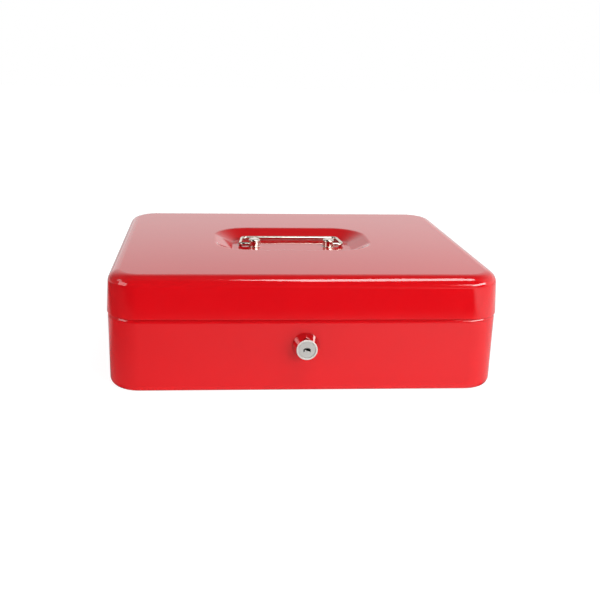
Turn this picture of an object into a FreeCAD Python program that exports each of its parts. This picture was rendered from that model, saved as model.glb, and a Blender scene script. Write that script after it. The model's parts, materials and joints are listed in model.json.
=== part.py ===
# Steel cash box with a drawn tub, a drawn lid on a barrel hinge, a wire handle folded into
# a recess of the lid, a wafer lock with a hook cam, and a lift-out coin tray.
# Millimetres and degrees. Origin at the centre of the base, +Z up, front facing -Y.
import FreeCAD, Part
import Sketcher
import math
import os
import re

V = FreeCAD.Vector

SIZES = {
    # The box as a whole, measured at the lid's lower edge
    "box_width": 300.0,
    "box_depth": 240.0,
    "box_height": 90.0,
    "corner_radius": 26.0,
    "sheet_steel": 1.0,
    # Tub
    "body_height": 57.5,
    "body_taper": 1.4,
    "lid_overhang": 0.6,
    "base_radius": 7.5,
    "shoulder_height": 3.5,
    "shoulder_radius": 3.0,
    "rim_height": 5.5,
    "rim_clearance": 0.8,
    # Lid
    "seam_gap": 0.4,
    "lid_draft": 2.0,
    "lid_top_radius": 9.0,
    "recess_side_margin": 6.0,
    "recess_back_margin": 2.0,
    "recess_floor_corner": 14.0,
    "recess_depth": 7.5,
    "recess_run": 15.0,
    "recess_lip_radius": 6.0,
    "recess_foot_radius": 2.5,
    "recess_setback": 5.0,
    # Barrel hinge
    "pin_radius": 1.5,
    "pin_clearance": 0.05,
    "leaf_thickness": 1.0,
    "leaf_height": 16.0,
    "hinge_end_margin": 1.0,
    "knuckle_pairs": 5,
    "knuckle_gap": 0.4,
    "hinge_cutback": 4.6,
    "leaf_cutback": 3.6,
    # Handle
    "wire_diameter": 3.2,
    "wire_clearance": 0.06,
    "bail_width": 92.0,
    "bail_splay": 2.4,
    "bail_reach": 24.0,
    "bail_leg_bend": 4.0,
    "bail_bar_bend": 5.0,
    "bail_end_depth": 2.4,
    "bail_end_gap": 0.2,
    "bail_rest_gap": 0.1,
    "post_inset": 13.2,
    "post_diameter": 9.2,
    "post_head_diameter": 10.0,
    "post_head_height": 2.0,
    "post_head_rounding": 1.5,
    "post_flange_diameter": 9.8,
    "post_flange_height": 0.4,
    "post_height": 7.0,
    "post_hole_height": 2.1,
    "post_screw_diameter": 3.0,
    "post_screw_reach": 3.0,
    "post_screw_head_diameter": 6.0,
    "post_screw_head_height": 2.0,
    "post_washer_diameter": 9.0,
    "post_washer_thickness": 0.8,
    "screw_clearance": 0.2,
    "screw_head_rounding": 1.3,
    # Lock
    "lock_height": 37.0,
    "bezel_diameter": 21.4,
    "bezel_rim_height": 1.2,
    "bezel_step": 0.5,
    "bezel_ledge": 0.2,
    "bezel_face_diameter": 16.2,
    "bezel_height": 8.5,
    "bezel_edge_radius": 0.8,
    "face_recess_depth": 1.6,
    "barrel_diameter": 15.6,
    "barrel_flats": 13.0,
    "barrel_length": 14.6,
    "barrel_hole_clearance": 0.2,
    "plug_diameter": 11.4,
    "plug_head_diameter": 13.3,
    "plug_sunk": 0.3,
    "plug_clearance": 0.08,
    "plug_rear_proud": 0.4,
    "tail_square": 6.0,
    "tail_clearance": 0.05,
    "tail_short": 0.1,
    "keyway_width": 5.8,
    "keyway_height": 1.6,
    "keyway_arch": 1.0,
    "keyway_depth": 17.0,
    "wafer_thickness": 1.0,
    "wafer_pitch": 2.4,
    "wafer_length": 9.6,
    "wafer_width": 5.0,
    "wafer_count": 4,
    "wafer_clearance": 0.06,
    "wafer_window_length": 7.0,
    "wafer_window_width": 3.4,
    "wafer_start": 3.0,
    "groove_depth": 0.8,
    "lock_washer_diameter": 22.0,
    "lock_washer_thickness": 0.8,
    "nut_across_flats": 21.0,
    "nut_height": 3.2,
    "nut_clearance": 0.1,
    "cam_thickness": 2.0,
    "cam_hub_diameter": 13.0,
    "cam_reach": 19.0,
    "cam_width": 8.0,
    "cam_hook_length": 8.0,
    "cam_hook_width": 5.0,
    "cam_corner": 1.2,
    "cam_washer_diameter": 9.5,
    "cam_washer_thickness": 0.6,
    "cam_screw_diameter": 3.5,
    "cam_screw_reach": 6.0,
    "cam_screw_head_diameter": 7.0,
    "cam_screw_head_height": 2.2,
    # Strike inside the lid
    "strike_thickness": 1.5,
    "strike_width": 26.0,
    "strike_top_clearance": 2.6,
    "strike_rise": 3.4,
    "strike_slope": 45.0,
    "strike_clearance": 0.9,
    "strike_lip_start": 5.0,
    "strike_hook_gap": 0.5,
    "strike_lip_margin": 1.4,
    # Rests for the coin tray
    "rest_thickness": 1.2,
    "rest_width": 9.0,
    "rest_height": 10.0,
    "rest_length": 120.0,
    "rest_drop": 1.0,
    "rest_bend": 1.0,
    # Coin tray
    "tray_clearance": 1.2,
    "tray_back_clearance": 1.6,
    "tray_flange_width": 4.0,
    "tray_flange_thickness": 2.0,
    "tray_depth": 34.0,
    "tray_wall": 2.0,
    "tray_cup_corner": 8.0,
    "tray_cup_foot": 5.0,
    "tray_row_split": 8.0,
    "tray_middle_width": 64.0,
    "tray_notch_margin": 4.0,
    "tray_coin_cups": 5,
}

doc = FreeCAD.newDocument("cash_box")
sheet = doc.addObject("Spreadsheet::Sheet", "Sizes")
for row, (alias, number) in enumerate(SIZES.items(), start=1):
    sheet.set(f"A{row}", alias)
    sheet.set(f"B{row}", str(number))
    sheet.setAlias(f"B{row}", alias)
doc.recompute()


def formula(text):
    """Turn the size names in a text into references to the sheet's cells."""
    return re.sub(r"\b([a-z]+(?:_[a-z]+)+)\b", r"Sizes.\1", str(text))


def value(text):
    """The present number of a formula."""
    result = sheet.evalExpression(formula(text))
    return float(getattr(result, "Value", result))


def new_body(name):
    body = doc.addObject("PartDesign::Body", name)
    body.Label = name
    return body


def place(item, x="0", y="0", z="0", turn_about_x=None):
    """Tie the position, and a turn about X, to the sheet."""
    if turn_about_x is not None:
        item.Placement = FreeCAD.Placement(V(), FreeCAD.Rotation(V(1, 0, 0), value(turn_about_x)))
        item.setExpression("Placement.Rotation.Angle", formula(turn_about_x))
    for axis, text in zip("xyz", (x, y, z)):
        item.setExpression(f"Placement.Base.{axis}", formula(text))


def sketch_on(body, name, role, offset=None):
    """A sketch on one of the body's own planes, moved along the plane's normal."""
    sketch = body.newObject("Sketcher::SketchObject", name)
    plane = next(item for item in body.Origin.OriginFeatures if item.Role == role)
    sketch.AttachmentSupport = [(plane, "")]
    sketch.MapMode = "FlatFace"
    if offset is not None:
        sketch.setExpression("AttachmentOffset.Base.z", formula(offset))
    return sketch


def constrain(sketch, fixed, bound):
    """Add plain constraints, then constraints whose value is tied to a formula."""
    first = sketch.ConstraintCount + len(fixed)
    sketch.addConstraint(fixed + [constraint for constraint, text in bound])
    for index, (constraint, text) in enumerate(bound, start=first):
        sketch.setExpression(f"Constraints[{index}]", formula(text))


def pin_point(geometry, position, x, y):
    """Two tied distances that hold one point of a sketch."""
    return [
        (Sketcher.Constraint("DistanceX", -1, 1, geometry, position, value(x)), x),
        (Sketcher.Constraint("DistanceY", -1, 1, geometry, position, value(y)), y),
    ]


def outline(sketch, corners, closed=True):
    """Straight runs through the corners; a third entry rounds that corner."""
    count = len(corners)
    points = [V(value(corner[0]), value(corner[1]), 0) for corner in corners]
    radii = [value(corner[2]) if len(corner) > 2 else 0.0 for corner in corners]
    arrive, leave, centres = list(points), list(points), [None] * count
    for i in range(count):
        if not radii[i]:
            continue
        back = (points[i - 1] - points[i]).normalize()
        ahead = (points[(i + 1) % count] - points[i]).normalize()
        half = math.acos(back.dot(ahead)) / 2
        arrive[i] = points[i] + back * (radii[i] / math.tan(half))
        leave[i] = points[i] + ahead * (radii[i] / math.tan(half))
        centres[i] = points[i] + (back + ahead).normalize() * (radii[i] / math.sin(half))
    runs = count if closed else count - 1
    lines = []
    for i in range(runs):
        lines.append(sketch.addGeometry(Part.LineSegment(leave[i], arrive[(i + 1) % count]), False))
    fixed, bound = [], []
    for i, corner in enumerate(corners):
        if not closed and i == 0:
            bound += pin_point(lines[0], 1, corner[0], corner[1])
            continue
        if not closed and i == count - 1:
            bound += pin_point(lines[-1], 2, corner[0], corner[1])
            continue
        before, after = lines[i - 1], lines[i % runs]
        if centres[i] is None:
            fixed.append(Sketcher.Constraint("Coincident", before, 2, after, 1))
            bound += pin_point(after, 1, corner[0], corner[1])
            continue
        start, end = arrive[i] - centres[i], leave[i] - centres[i]
        angles = [math.atan2(start.y, start.x), math.atan2(end.y, end.x)]
        first, last = 1, 2
        if start.cross(end).z < 0:
            angles.reverse()
            first, last = 2, 1
        circle_of_arc = Part.Circle(centres[i], V(0, 0, 1), radii[i])
        arc = sketch.addGeometry(Part.ArcOfCircle(circle_of_arc, *angles), False)
        apex = sketch.addGeometry(Part.Point(points[i]), True)
        fixed.append(Sketcher.Constraint("Tangent", before, 2, arc, first))
        fixed.append(Sketcher.Constraint("Tangent", arc, last, after, 1))
        fixed.append(Sketcher.Constraint("PointOnObject", apex, 1, before))
        fixed.append(Sketcher.Constraint("PointOnObject", apex, 1, after))
        bound.append((Sketcher.Constraint("Radius", arc, radii[i]), corner[2]))
        bound += pin_point(apex, 1, corner[0], corner[1])
    constrain(sketch, fixed, bound)


def circle(sketch, x, y, radius):
    ring = sketch.addGeometry(Part.Circle(V(value(x), value(y), 0), V(0, 0, 1), value(radius)), False)
    bound = pin_point(ring, 3, x, y)
    bound.append((Sketcher.Constraint("Radius", ring, value(radius)), radius))
    constrain(sketch, [], bound)


def rectangle(sketch, left, right, bottom, top, radius=None):
    rounding = () if radius is None else (radius,)
    corners = [(left, bottom), (right, bottom), (right, top), (left, top)]
    outline(sketch, [corner + rounding for corner in corners])


def double_d(sketch, radius, flats, x="0", y="0"):
    """A circle with two upright flats, as a lock's barrel and its hole have."""
    big, half = value(radius), value(flats) / 2
    centre = V(value(x), value(y), 0)
    reach = math.sqrt(big * big - half * half)
    swing = math.acos(half / big)
    ring = Part.Circle(centre, V(0, 0, 1), big)
    corner, mirrored = V(half, reach, 0), V(half, -reach, 0)
    right = sketch.addGeometry(Part.LineSegment(centre + mirrored, centre + corner), False)
    top = sketch.addGeometry(Part.ArcOfCircle(ring, swing, math.pi - swing), False)
    left = sketch.addGeometry(Part.LineSegment(centre - mirrored, centre - corner), False)
    low = sketch.addGeometry(Part.ArcOfCircle(ring, math.pi + swing, 2 * math.pi - swing), False)
    fixed = [
        Sketcher.Constraint("Coincident", right, 2, top, 1),
        Sketcher.Constraint("Coincident", top, 2, left, 1),
        Sketcher.Constraint("Coincident", left, 2, low, 1),
        Sketcher.Constraint("Coincident", low, 2, right, 1),
        Sketcher.Constraint("Coincident", top, 3, low, 3),
        Sketcher.Constraint("Vertical", right),
        Sketcher.Constraint("Vertical", left),
    ]
    bound = pin_point(top, 3, x, y)
    bound.append((Sketcher.Constraint("Radius", top, big), radius))
    bound.append((Sketcher.Constraint("DistanceX", top, 3, right, 1, half), f"({flats}) / 2"))
    bound.append((Sketcher.Constraint("DistanceX", left, 1, top, 3, half), f"({flats}) / 2"))
    constrain(sketch, fixed, bound)


def hexagon(sketch, across_flats):
    """A hexagon with a flat on top, for a nut."""
    half = f"({across_flats}) / 2"
    corner = f"({across_flats}) / sqrt(3)"
    outline(sketch, [
        (corner, "0"),
        (f"{corner} / 2", half),
        (f"-{corner} / 2", half),
        (f"-{corner}", "0"),
        (f"-{corner} / 2", f"-{half}"),
        (f"{corner} / 2", f"-{half}"),
    ])


def pad(body, sketch, length, both_ways=False, downwards=False):
    feature = body.newObject("PartDesign::Pad", f"{sketch.Name}_pad")
    feature.Profile = sketch
    feature.setExpression("Length", formula(length))
    feature.SideType = "Symmetric" if both_ways else "One side"
    feature.Reversed = downwards
    doc.recompute()
    return feature


def pocket(body, sketch, length, both_ways=False, upwards=False):
    """Cut a sketch out of the body; the cut has to remove something."""
    doc.recompute()
    before = body.Shape.Volume
    feature = body.newObject("PartDesign::Pocket", f"{sketch.Name}_cut")
    feature.Profile = sketch
    feature.setExpression("Length", formula(length))
    feature.SideType = "Symmetric" if both_ways else "One side"
    feature.Reversed = upwards
    doc.recompute()
    if not body.Shape.Volume < before:
        raise RuntimeError(f"{feature.Name} removes nothing")
    return feature


def revolve(body, sketch):
    """Turn a half section about the sketch's upright axis."""
    feature = body.newObject("PartDesign::Revolution", f"{sketch.Name}_turned")
    feature.Profile = sketch
    feature.ReferenceAxis = (sketch, ["V_Axis"])
    feature.Angle = 360
    doc.recompute()
    return feature


def sweep(body, section, path):
    feature = body.newObject("PartDesign::AdditivePipe", f"{section.Name}_swept")
    feature.Profile = section
    feature.Spine = path
    doc.recompute()
    return feature


def ring_path(body, name, half_x, half_y, radius, offset=None, setback="0"):
    """A rounded rectangle about an upright axis that may stand behind the middle."""
    path = sketch_on(body, name, "XY_Plane", offset)
    rectangle(path, f"-({half_x})", half_x, f"{setback} - ({half_y})", f"{setback} + ({half_y})", radius)
    return path


def group(name, pieces):
    """Like pieces that share one node."""
    together = doc.addObject("Part::Compound", name)
    together.Label = name
    together.Links = pieces
    return together


# Places that several pieces share
half_width = "(box_width / 2)"
half_depth = "(box_depth / 2)"
lid_edge = "(body_height + seam_gap)"
lid_lean = f"((box_height - {lid_edge}) * tan(lid_draft))"
shoulder_level = "(body_height - shoulder_height)"
body_lean = f"({shoulder_level} * tan(body_taper))"
rim_top = "(body_height + rim_height)"
rim_outer = "(sheet_steel + rim_clearance)"
rim_inner = f"({rim_outer} + sheet_steel)"
recess_floor = "(box_height - recess_depth)"
recess_slope = "atan(recess_depth / recess_run)"
recess_fold = f"(sheet_steel * tan({recess_slope} / 2))"
floor_side = "(bail_width / 2 + recess_side_margin)"
floor_back = "(bail_reach + recess_back_margin)"
mouth_side = f"({floor_side} + recess_run)"
mouth_back = f"({floor_back} + recess_run)"
mouth_corner = "(recess_floor_corner + recess_run)"
post_place = "(bail_width / 2 - post_inset)"
knuckle_bore = "(pin_radius + pin_clearance)"
knuckle_radius = f"({knuckle_bore} + leaf_thickness)"
hinge_level = "(body_height + seam_gap / 2)"


def tub_inside(half_size, level):
    """Distance of a tub wall's inner face from the middle of the box."""
    return f"({half_size} - lid_overhang - sheet_steel - ({shoulder_level} - {level}) * tan(body_taper))"


hinge_back = f"({tub_inside(half_depth, hinge_level)} - {knuckle_radius} / cos(body_taper))"
hinge_length = "(box_width - 2 * corner_radius - 2 * hinge_end_margin)"
lock_front = f"({half_depth} - lid_overhang - ({shoulder_level} - lock_height) * tan(body_taper))"

# Tub: a wall section swept round the plan, closed by the base plate
body_shell = new_body("body_shell")
base_edge = f"(lid_overhang + {body_lean})"
base_flat = f"({base_edge} + base_radius)"
base_plate = ring_path(body_shell, "base_plate", f"{half_width} - {base_flat}",
                       f"{half_depth} - {base_flat}", f"corner_radius - {base_flat}")
pad(body_shell, base_plate, "sheet_steel")
tub_path = ring_path(body_shell, "tub_path", half_width, half_depth, "corner_radius")
tub_section = sketch_on(body_shell, "tub_section", "XZ_Plane")
outline(tub_section, [
    (f"{half_width} - {base_flat}", "0"),
    (f"{half_width} - {base_edge}", "0", "base_radius"),
    (f"{half_width} - lid_overhang", shoulder_level, "shoulder_radius + sheet_steel"),
    (f"{half_width} - {rim_outer}", "body_height", "shoulder_radius"),
    (f"{half_width} - {rim_outer}", rim_top),
    (f"{half_width} - {rim_inner}", rim_top),
    (f"{half_width} - {rim_inner}", "body_height", "shoulder_radius + sheet_steel"),
    (f"{half_width} - lid_overhang - sheet_steel", shoulder_level, "shoulder_radius"),
    (tub_inside(half_width, "sheet_steel"), "sheet_steel", "base_radius - sheet_steel"),
    (f"{half_width} - {base_flat}", "sheet_steel"),
])
sweep(body_shell, tub_section, tub_path)

# Gap in the tub's back edge for the hinge barrel
tub_hinge_gap = sketch_on(body_shell, "tub_hinge_gap", "XY_Plane", f"{hinge_level} - hinge_cutback")
rectangle(tub_hinge_gap, f"-{half_width}", half_width, hinge_back, half_depth)
pocket(body_shell, tub_hinge_gap, "box_height", upwards=True)

# Lock hole in the tub's front wall
lock_hole = sketch_on(body_shell, "lock_hole", "XZ_Plane")
double_d(lock_hole, "barrel_diameter / 2 + barrel_hole_clearance",
         "barrel_flats + 2 * barrel_hole_clearance", y="lock_height")
pocket(body_shell, lock_hole, half_depth, upwards=True)

# Tray rests: an angle welded inside each end wall, its ledge just below the shoulder
rest_top = f"({shoulder_level} - rest_drop)"
rest_low = f"({rest_top} - rest_height)"
rest_edge = f"({tub_inside(half_width, rest_top)} - rest_width)"


def tray_rest(name, side):
    rest = new_body(name)
    angle = sketch_on(rest, f"{name}_angle", "XZ_Plane")
    ledge_under = f"({rest_top} - rest_thickness)"
    outline(angle, [
        (f"{side}{rest_edge}", rest_top),
        (f"{side}{tub_inside(half_width, rest_top)}", rest_top, "rest_bend + rest_thickness"),
        (f"{side}{tub_inside(half_width, rest_low)}", rest_low),
        (f"{side}({tub_inside(half_width, rest_low)} - rest_thickness)", rest_low),
        (f"{side}({tub_inside(half_width, ledge_under)} - rest_thickness)", ledge_under, "rest_bend"),
        (f"{side}{rest_edge}", ledge_under),
    ])
    pad(rest, angle, "rest_length", both_ways=True)
    return rest


tray_rest_left = tray_rest("tray_rest_left", "-")
tray_rest_right = tray_rest("tray_rest_right", "")

# Lid: a flat deck, the skirt swept round the plan and the dished recess swept round its opening
lid_shell = new_body("lid_shell")
deck_edge = f"({lid_lean} + lid_top_radius)"
recess_mouth = "recess_lip_radius"
deck = sketch_on(lid_shell, "deck", "XY_Plane", "box_height - sheet_steel")
rectangle(deck, f"{deck_edge} - {half_width}", f"{half_width} - {deck_edge}", f"{deck_edge} - {half_depth}",
          f"{half_depth} - {deck_edge}", f"corner_radius - {deck_edge}")
rectangle(deck, f"-{mouth_side} - {recess_mouth}", f"{mouth_side} + {recess_mouth}",
          f"recess_setback - {mouth_back} - {recess_mouth}",
          f"recess_setback + {mouth_back} + {recess_mouth}", f"{mouth_corner} + {recess_mouth}")
pad(lid_shell, deck, "sheet_steel")
skirt_path = ring_path(lid_shell, "skirt_path", half_width, half_depth, "corner_radius")
skirt_section = sketch_on(lid_shell, "skirt_section", "XZ_Plane")
outline(skirt_section, [
    (half_width, lid_edge),
    (f"{half_width} - {lid_lean}", "box_height", "lid_top_radius"),
    (f"{half_width} - {deck_edge}", "box_height"),
    (f"{half_width} - {deck_edge}", "box_height - sheet_steel"),
    (f"{half_width} - {lid_lean} - sheet_steel * (1 - tan(lid_draft))", "box_height - sheet_steel",
     "lid_top_radius - sheet_steel"),
    (f"{half_width} - sheet_steel", lid_edge),
])
sweep(lid_shell, skirt_section, skirt_path)
recess_path = ring_path(lid_shell, "recess_path", mouth_side, mouth_back, mouth_corner,
                        setback="recess_setback")
recess_section = sketch_on(lid_shell, "recess_section", "XZ_Plane", "-recess_setback")
recess_flat = f"({floor_side} - recess_foot_radius)"
outline(recess_section, [
    (f"{mouth_side} + {recess_mouth}", "box_height"),
    (mouth_side, "box_height", "recess_lip_radius"),
    (floor_side, recess_floor, "recess_foot_radius"),
    (recess_flat, recess_floor),
    (recess_flat, f"{recess_floor} - sheet_steel"),
    (f"{floor_side} + {recess_fold}", f"{recess_floor} - sheet_steel", "recess_foot_radius + sheet_steel"),
    (f"{mouth_side} + {recess_fold}", "box_height - sheet_steel", "recess_lip_radius - sheet_steel"),
    (f"{mouth_side} + {recess_mouth}", "box_height - sheet_steel"),
])
sweep(lid_shell, recess_section, recess_path)
recess_plate = ring_path(lid_shell, "recess_plate", recess_flat, f"{floor_back} - recess_foot_radius",
                         "recess_floor_corner - recess_foot_radius", f"{recess_floor} - sheet_steel",
                         "recess_setback")
pad(lid_shell, recess_plate, "sheet_steel")

# Screw holes for the handle posts
post_holes = sketch_on(lid_shell, "post_holes", "XY_Plane", recess_floor)
for side in ("", "-"):
    circle(post_holes, f"{side}{post_place}", "recess_setback", "(post_screw_diameter + screw_clearance) / 2")
pocket(lid_shell, post_holes, "2 * sheet_steel")

# Gap in the lid's back edge for the hinge barrel
lid_hinge_gap = sketch_on(lid_shell, "lid_hinge_gap", "XY_Plane", f"{hinge_level} + hinge_cutback")
rectangle(lid_hinge_gap, f"-{half_width}", half_width, hinge_back, half_depth)
pocket(lid_shell, lid_hinge_gap, "2 * hinge_cutback")


# Hinge leaves: a plate welded inside each back wall, with rolled knuckles that take turns on the pin
knuckle_pitch = f"({hinge_length} / (2 * knuckle_pairs + 1))"


def hinge_leaf(name, way, plate_face, knuckles, first_pitch, lean):
    """A leaf about its hinge axis; way is the plate's side of the axis, plate_face its outer face."""
    leaf = new_body(name)
    plate = sketch_on(leaf, f"{name}_plate", "YZ_Plane")
    rectangle(plate, f"{plate_face} - leaf_thickness", plate_face, f"{way} * leaf_cutback",
              f"{way} * leaf_height")
    pad(leaf, plate, hinge_length, both_ways=True)
    start = f"-{hinge_length} / 2 + {first_pitch} * {knuckle_pitch} + knuckle_gap / 2"
    tab = sketch_on(leaf, f"{name}_tab", "YZ_Plane", start)
    rectangle(tab, f"{plate_face} - leaf_thickness", plate_face, "0", f"{way} * leaf_cutback")
    tab_pad = pad(leaf, tab, f"{knuckle_pitch} - knuckle_gap")
    roll = sketch_on(leaf, f"{name}_roll", "YZ_Plane", start)
    circle(roll, "0", "0", knuckle_radius)
    roll_pad = pad(leaf, roll, f"{knuckle_pitch} - knuckle_gap")
    row = leaf.newObject("PartDesign::LinearPattern", f"{name}_row")
    row.Originals = [tab_pad, roll_pad]
    row.Direction = (next(item for item in leaf.Origin.OriginFeatures if item.Role == "X_Axis"), [""])
    row.setExpression("Occurrences", formula(knuckles))
    row.setExpression("Length", formula(f"2 * {knuckle_pitch} * ({knuckles} - 1)"))
    leaf.Tip = row
    doc.recompute()
    bore = sketch_on(leaf, f"{name}_bore", "YZ_Plane")
    circle(bore, "0", "0", knuckle_bore)
    pocket(leaf, bore, "box_width", both_ways=True)
    place(leaf, y=hinge_back, z=hinge_level, turn_about_x=lean)
    return leaf


hinge_leaf_body = hinge_leaf("hinge_leaf_body", "-1", knuckle_radius, "knuckle_pairs + 1", "0",
                             "-body_taper")
lid_wall_at_hinge = f"({half_depth} - sheet_steel + seam_gap / 2 * tan(lid_draft) - {hinge_back})"
hinge_leaf_lid = hinge_leaf("hinge_leaf_lid", "1", f"({lid_wall_at_hinge} * cos(lid_draft))",
                            "knuckle_pairs", "1", "lid_draft")

hinge_pin = doc.addObject("Part::Cylinder", "hinge_pin")
hinge_pin.Label = "hinge_pin"
hinge_pin.setExpression("Radius", formula("pin_radius"))
hinge_pin.setExpression("Height", formula(hinge_length))
hinge_pin.Placement = FreeCAD.Placement(V(), FreeCAD.Rotation(V(0, 1, 0), 90))
place(hinge_pin, x=f"-{hinge_length} / 2", y=hinge_back, z=hinge_level)

# Handle posts: turned studs on the recess floor, each with a side hole for the wire's end
wire_hole = "(wire_diameter / 2 + wire_clearance)"


def handle_post(name, side):
    post = new_body(name)
    section = sketch_on(post, f"{name}_section", "XZ_Plane")
    neck = "post_height - post_head_height"
    outline(section, [
        ("post_screw_diameter / 2", "0"),
        ("post_flange_diameter / 2", "0"),
        ("post_flange_diameter / 2", "post_flange_height"),
        ("post_diameter / 2", "post_flange_height"),
        ("post_diameter / 2", neck),
        ("post_head_diameter / 2", neck),
        ("post_head_diameter / 2", "post_height", "post_head_rounding"),
        ("0", "post_height"),
        ("0", "post_screw_reach + screw_clearance"),
        ("post_screw_diameter / 2", "post_screw_reach + screw_clearance"),
    ])
    revolve(post, section)
    hole_end = "(post_diameter / 2 - bail_end_depth - bail_end_gap)"
    drill = sketch_on(post, f"{name}_drill", "YZ_Plane", f"{side}{hole_end}")
    circle(drill, "0", "post_hole_height", wire_hole)
    pocket(post, drill, "post_flange_diameter", upwards=side == "")
    place(post, x=f"{side}{post_place}", y="recess_setback", z=recess_floor)
    return post


handle_post_left = handle_post("handle_post_left", "-")
handle_post_right = handle_post("handle_post_right", "")

# Wire handle, folded back onto the recess's floor, its two ends turned inward into the posts
handle_bail = new_body("handle_bail")
bail_path = sketch_on(handle_bail, "bail_path", "XY_Plane")
leg_end = f"({post_place} + post_diameter / 2 - bail_end_depth)"
outline(bail_path, [
    (leg_end, "0"),
    ("bail_width / 2", "0", "bail_leg_bend"),
    ("bail_width / 2 - bail_splay", "bail_reach", "bail_bar_bend"),
    ("bail_splay - bail_width / 2", "bail_reach", "bail_bar_bend"),
    ("-bail_width / 2", "0", "bail_leg_bend"),
    (f"-{leg_end}", "0"),
], closed=False)
bail_wire = sketch_on(handle_bail, "bail_wire", "YZ_Plane", leg_end)
circle(bail_wire, "0", "0", "wire_diameter / 2")
sweep(handle_bail, bail_wire, bail_path)
bail_drop = "((post_hole_height - wire_diameter / 2 - bail_rest_gap) / bail_reach)"
place(handle_bail, y="recess_setback", z=f"{recess_floor} + post_hole_height",
      turn_about_x=f"-asin({bail_drop})")


def pan_screw(name, diameter, reach, head_diameter, head_height, seat="0"):
    """A pan-head screw standing on its head, the shank pointing up from its seat."""
    screw = new_body(name)
    section = sketch_on(screw, f"{name}_section", "XZ_Plane")
    outline(section, [
        ("0", f"{seat} - {head_height}"),
        (f"{head_diameter} / 2", f"{seat} - {head_height}", "screw_head_rounding"),
        (f"{head_diameter} / 2", seat),
        (f"{diameter} / 2", seat),
        (f"{diameter} / 2", f"{seat} + {reach}"),
        ("0", f"{seat} + {reach}"),
    ])
    revolve(screw, section)
    return screw


def washer(name, outer_diameter, inner_radius, thickness, seat="0"):
    """A flat ring that hangs below its seat."""
    ring = new_body(name)
    face = sketch_on(ring, f"{name}_face", "XY_Plane", seat)
    circle(face, "0", "0", f"{outer_diameter} / 2")
    circle(face, "0", "0", inner_radius)
    pad(ring, face, thickness, downwards=True)
    return ring


# Fixings of the posts, one washer and one screw under each
post_washer_parts, post_screw_parts = [], []
recess_underside = f"({recess_floor} - sheet_steel)"
for side, word in (("-", "left"), ("", "right")):
    ring = washer(f"post_washer_{word}", "post_washer_diameter",
                  "(post_screw_diameter + screw_clearance) / 2", "post_washer_thickness")
    place(ring, x=f"{side}{post_place}", y="recess_setback", z=recess_underside)
    post_washer_parts.append(ring)
    screw = pan_screw(f"post_screw_{word}", "post_screw_diameter",
                      "sheet_steel + post_washer_thickness + post_screw_reach", "post_screw_head_diameter",
                      "post_screw_head_height")
    place(screw, x=f"{side}{post_place}", y="recess_setback",
          z=f"{recess_underside} - post_washer_thickness")
    post_screw_parts.append(screw)
post_washers = group("post_washers", post_washer_parts)
post_screws = group("post_screws", post_screw_parts)


def place_in_lock(item):
    """Stand a lock piece on the front wall: its Z points out of the box, its Y up the wall."""
    place(item, y=f"-{lock_front}", z="lock_height", turn_about_x="90 + body_taper")


# Lock housing: a turned bezel outside the wall and a barrel with two flats inside it
lock_housing = new_body("lock_housing")
plug_bore = "(plug_diameter / 2 + plug_clearance)"
head_bore = "(plug_head_diameter / 2 + plug_clearance)"
plug_seat = "(bezel_height - face_recess_depth)"
bezel = sketch_on(lock_housing, "bezel", "XZ_Plane")
outline(bezel, [
    (plug_bore, "0"),
    ("bezel_diameter / 2", "0"),
    ("bezel_diameter / 2", "bezel_rim_height", "bezel_step"),
    ("bezel_diameter / 2 - bezel_step - bezel_ledge", "bezel_rim_height"),
    ("bezel_face_diameter / 2", "bezel_height", "bezel_edge_radius"),
    (head_bore, "bezel_height"),
    (head_bore, plug_seat),
    (plug_bore, plug_seat),
])
revolve(lock_housing, bezel)
barrel = sketch_on(lock_housing, "barrel", "XY_Plane")
double_d(barrel, "barrel_diameter / 2", "barrel_flats")
circle(barrel, "0", "0", plug_bore)
pad(lock_housing, barrel, "barrel_length", downwards=True)
wafer_grooves = sketch_on(lock_housing, "wafer_grooves", "XY_Plane", "-barrel_length")
groove_reach = f"({plug_bore} + groove_depth)"
groove_side = "(wafer_width / 2 + wafer_clearance)"
rectangle(wafer_grooves, f"-{groove_reach}", groove_reach, f"-{groove_side}", groove_side)
pocket(lock_housing, wafer_grooves, f"barrel_length + {plug_seat} - wafer_start", upwards=True)
place_in_lock(lock_housing)

# Plug: a turned core with the keyway, the wafer slots, a square tail and the screw's hole
lock_plug = new_body("lock_plug")
plug_rear = "(-barrel_length - plug_rear_proud)"
plug_face = "(bezel_height - plug_sunk)"
core = sketch_on(lock_plug, "core", "XZ_Plane")
outline(core, [
    ("0", plug_rear),
    ("plug_diameter / 2", plug_rear),
    ("plug_diameter / 2", f"{plug_seat} + plug_clearance"),
    ("plug_head_diameter / 2", f"{plug_seat} + plug_clearance"),
    ("plug_head_diameter / 2", plug_face),
    ("0", plug_face),
])
revolve(lock_plug, core)
tail = sketch_on(lock_plug, "tail", "XY_Plane", plug_rear)
rectangle(tail, "-tail_square / 2", "tail_square / 2", "-tail_square / 2", "tail_square / 2")
pad(lock_plug, tail, "cam_thickness - tail_short", downwards=True)
keyway = sketch_on(lock_plug, "keyway", "XY_Plane", plug_face)
outline(keyway, [
    ("-keyway_width / 2", "-keyway_height / 2 - keyway_arch / 2"),
    ("0", "-keyway_height / 2 + keyway_arch / 2"),
    ("keyway_width / 2", "-keyway_height / 2 - keyway_arch / 2"),
    ("keyway_width / 2", "keyway_height / 2 - keyway_arch / 2"),
    ("0", "keyway_height / 2 + keyway_arch / 2"),
    ("-keyway_width / 2", "keyway_height / 2 - keyway_arch / 2"),
])
pocket(lock_plug, keyway, "keyway_depth")
wafer_slots = sketch_on(lock_plug, "wafer_slots", "YZ_Plane")
slot_top = f"({plug_seat} - wafer_start)"
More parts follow.
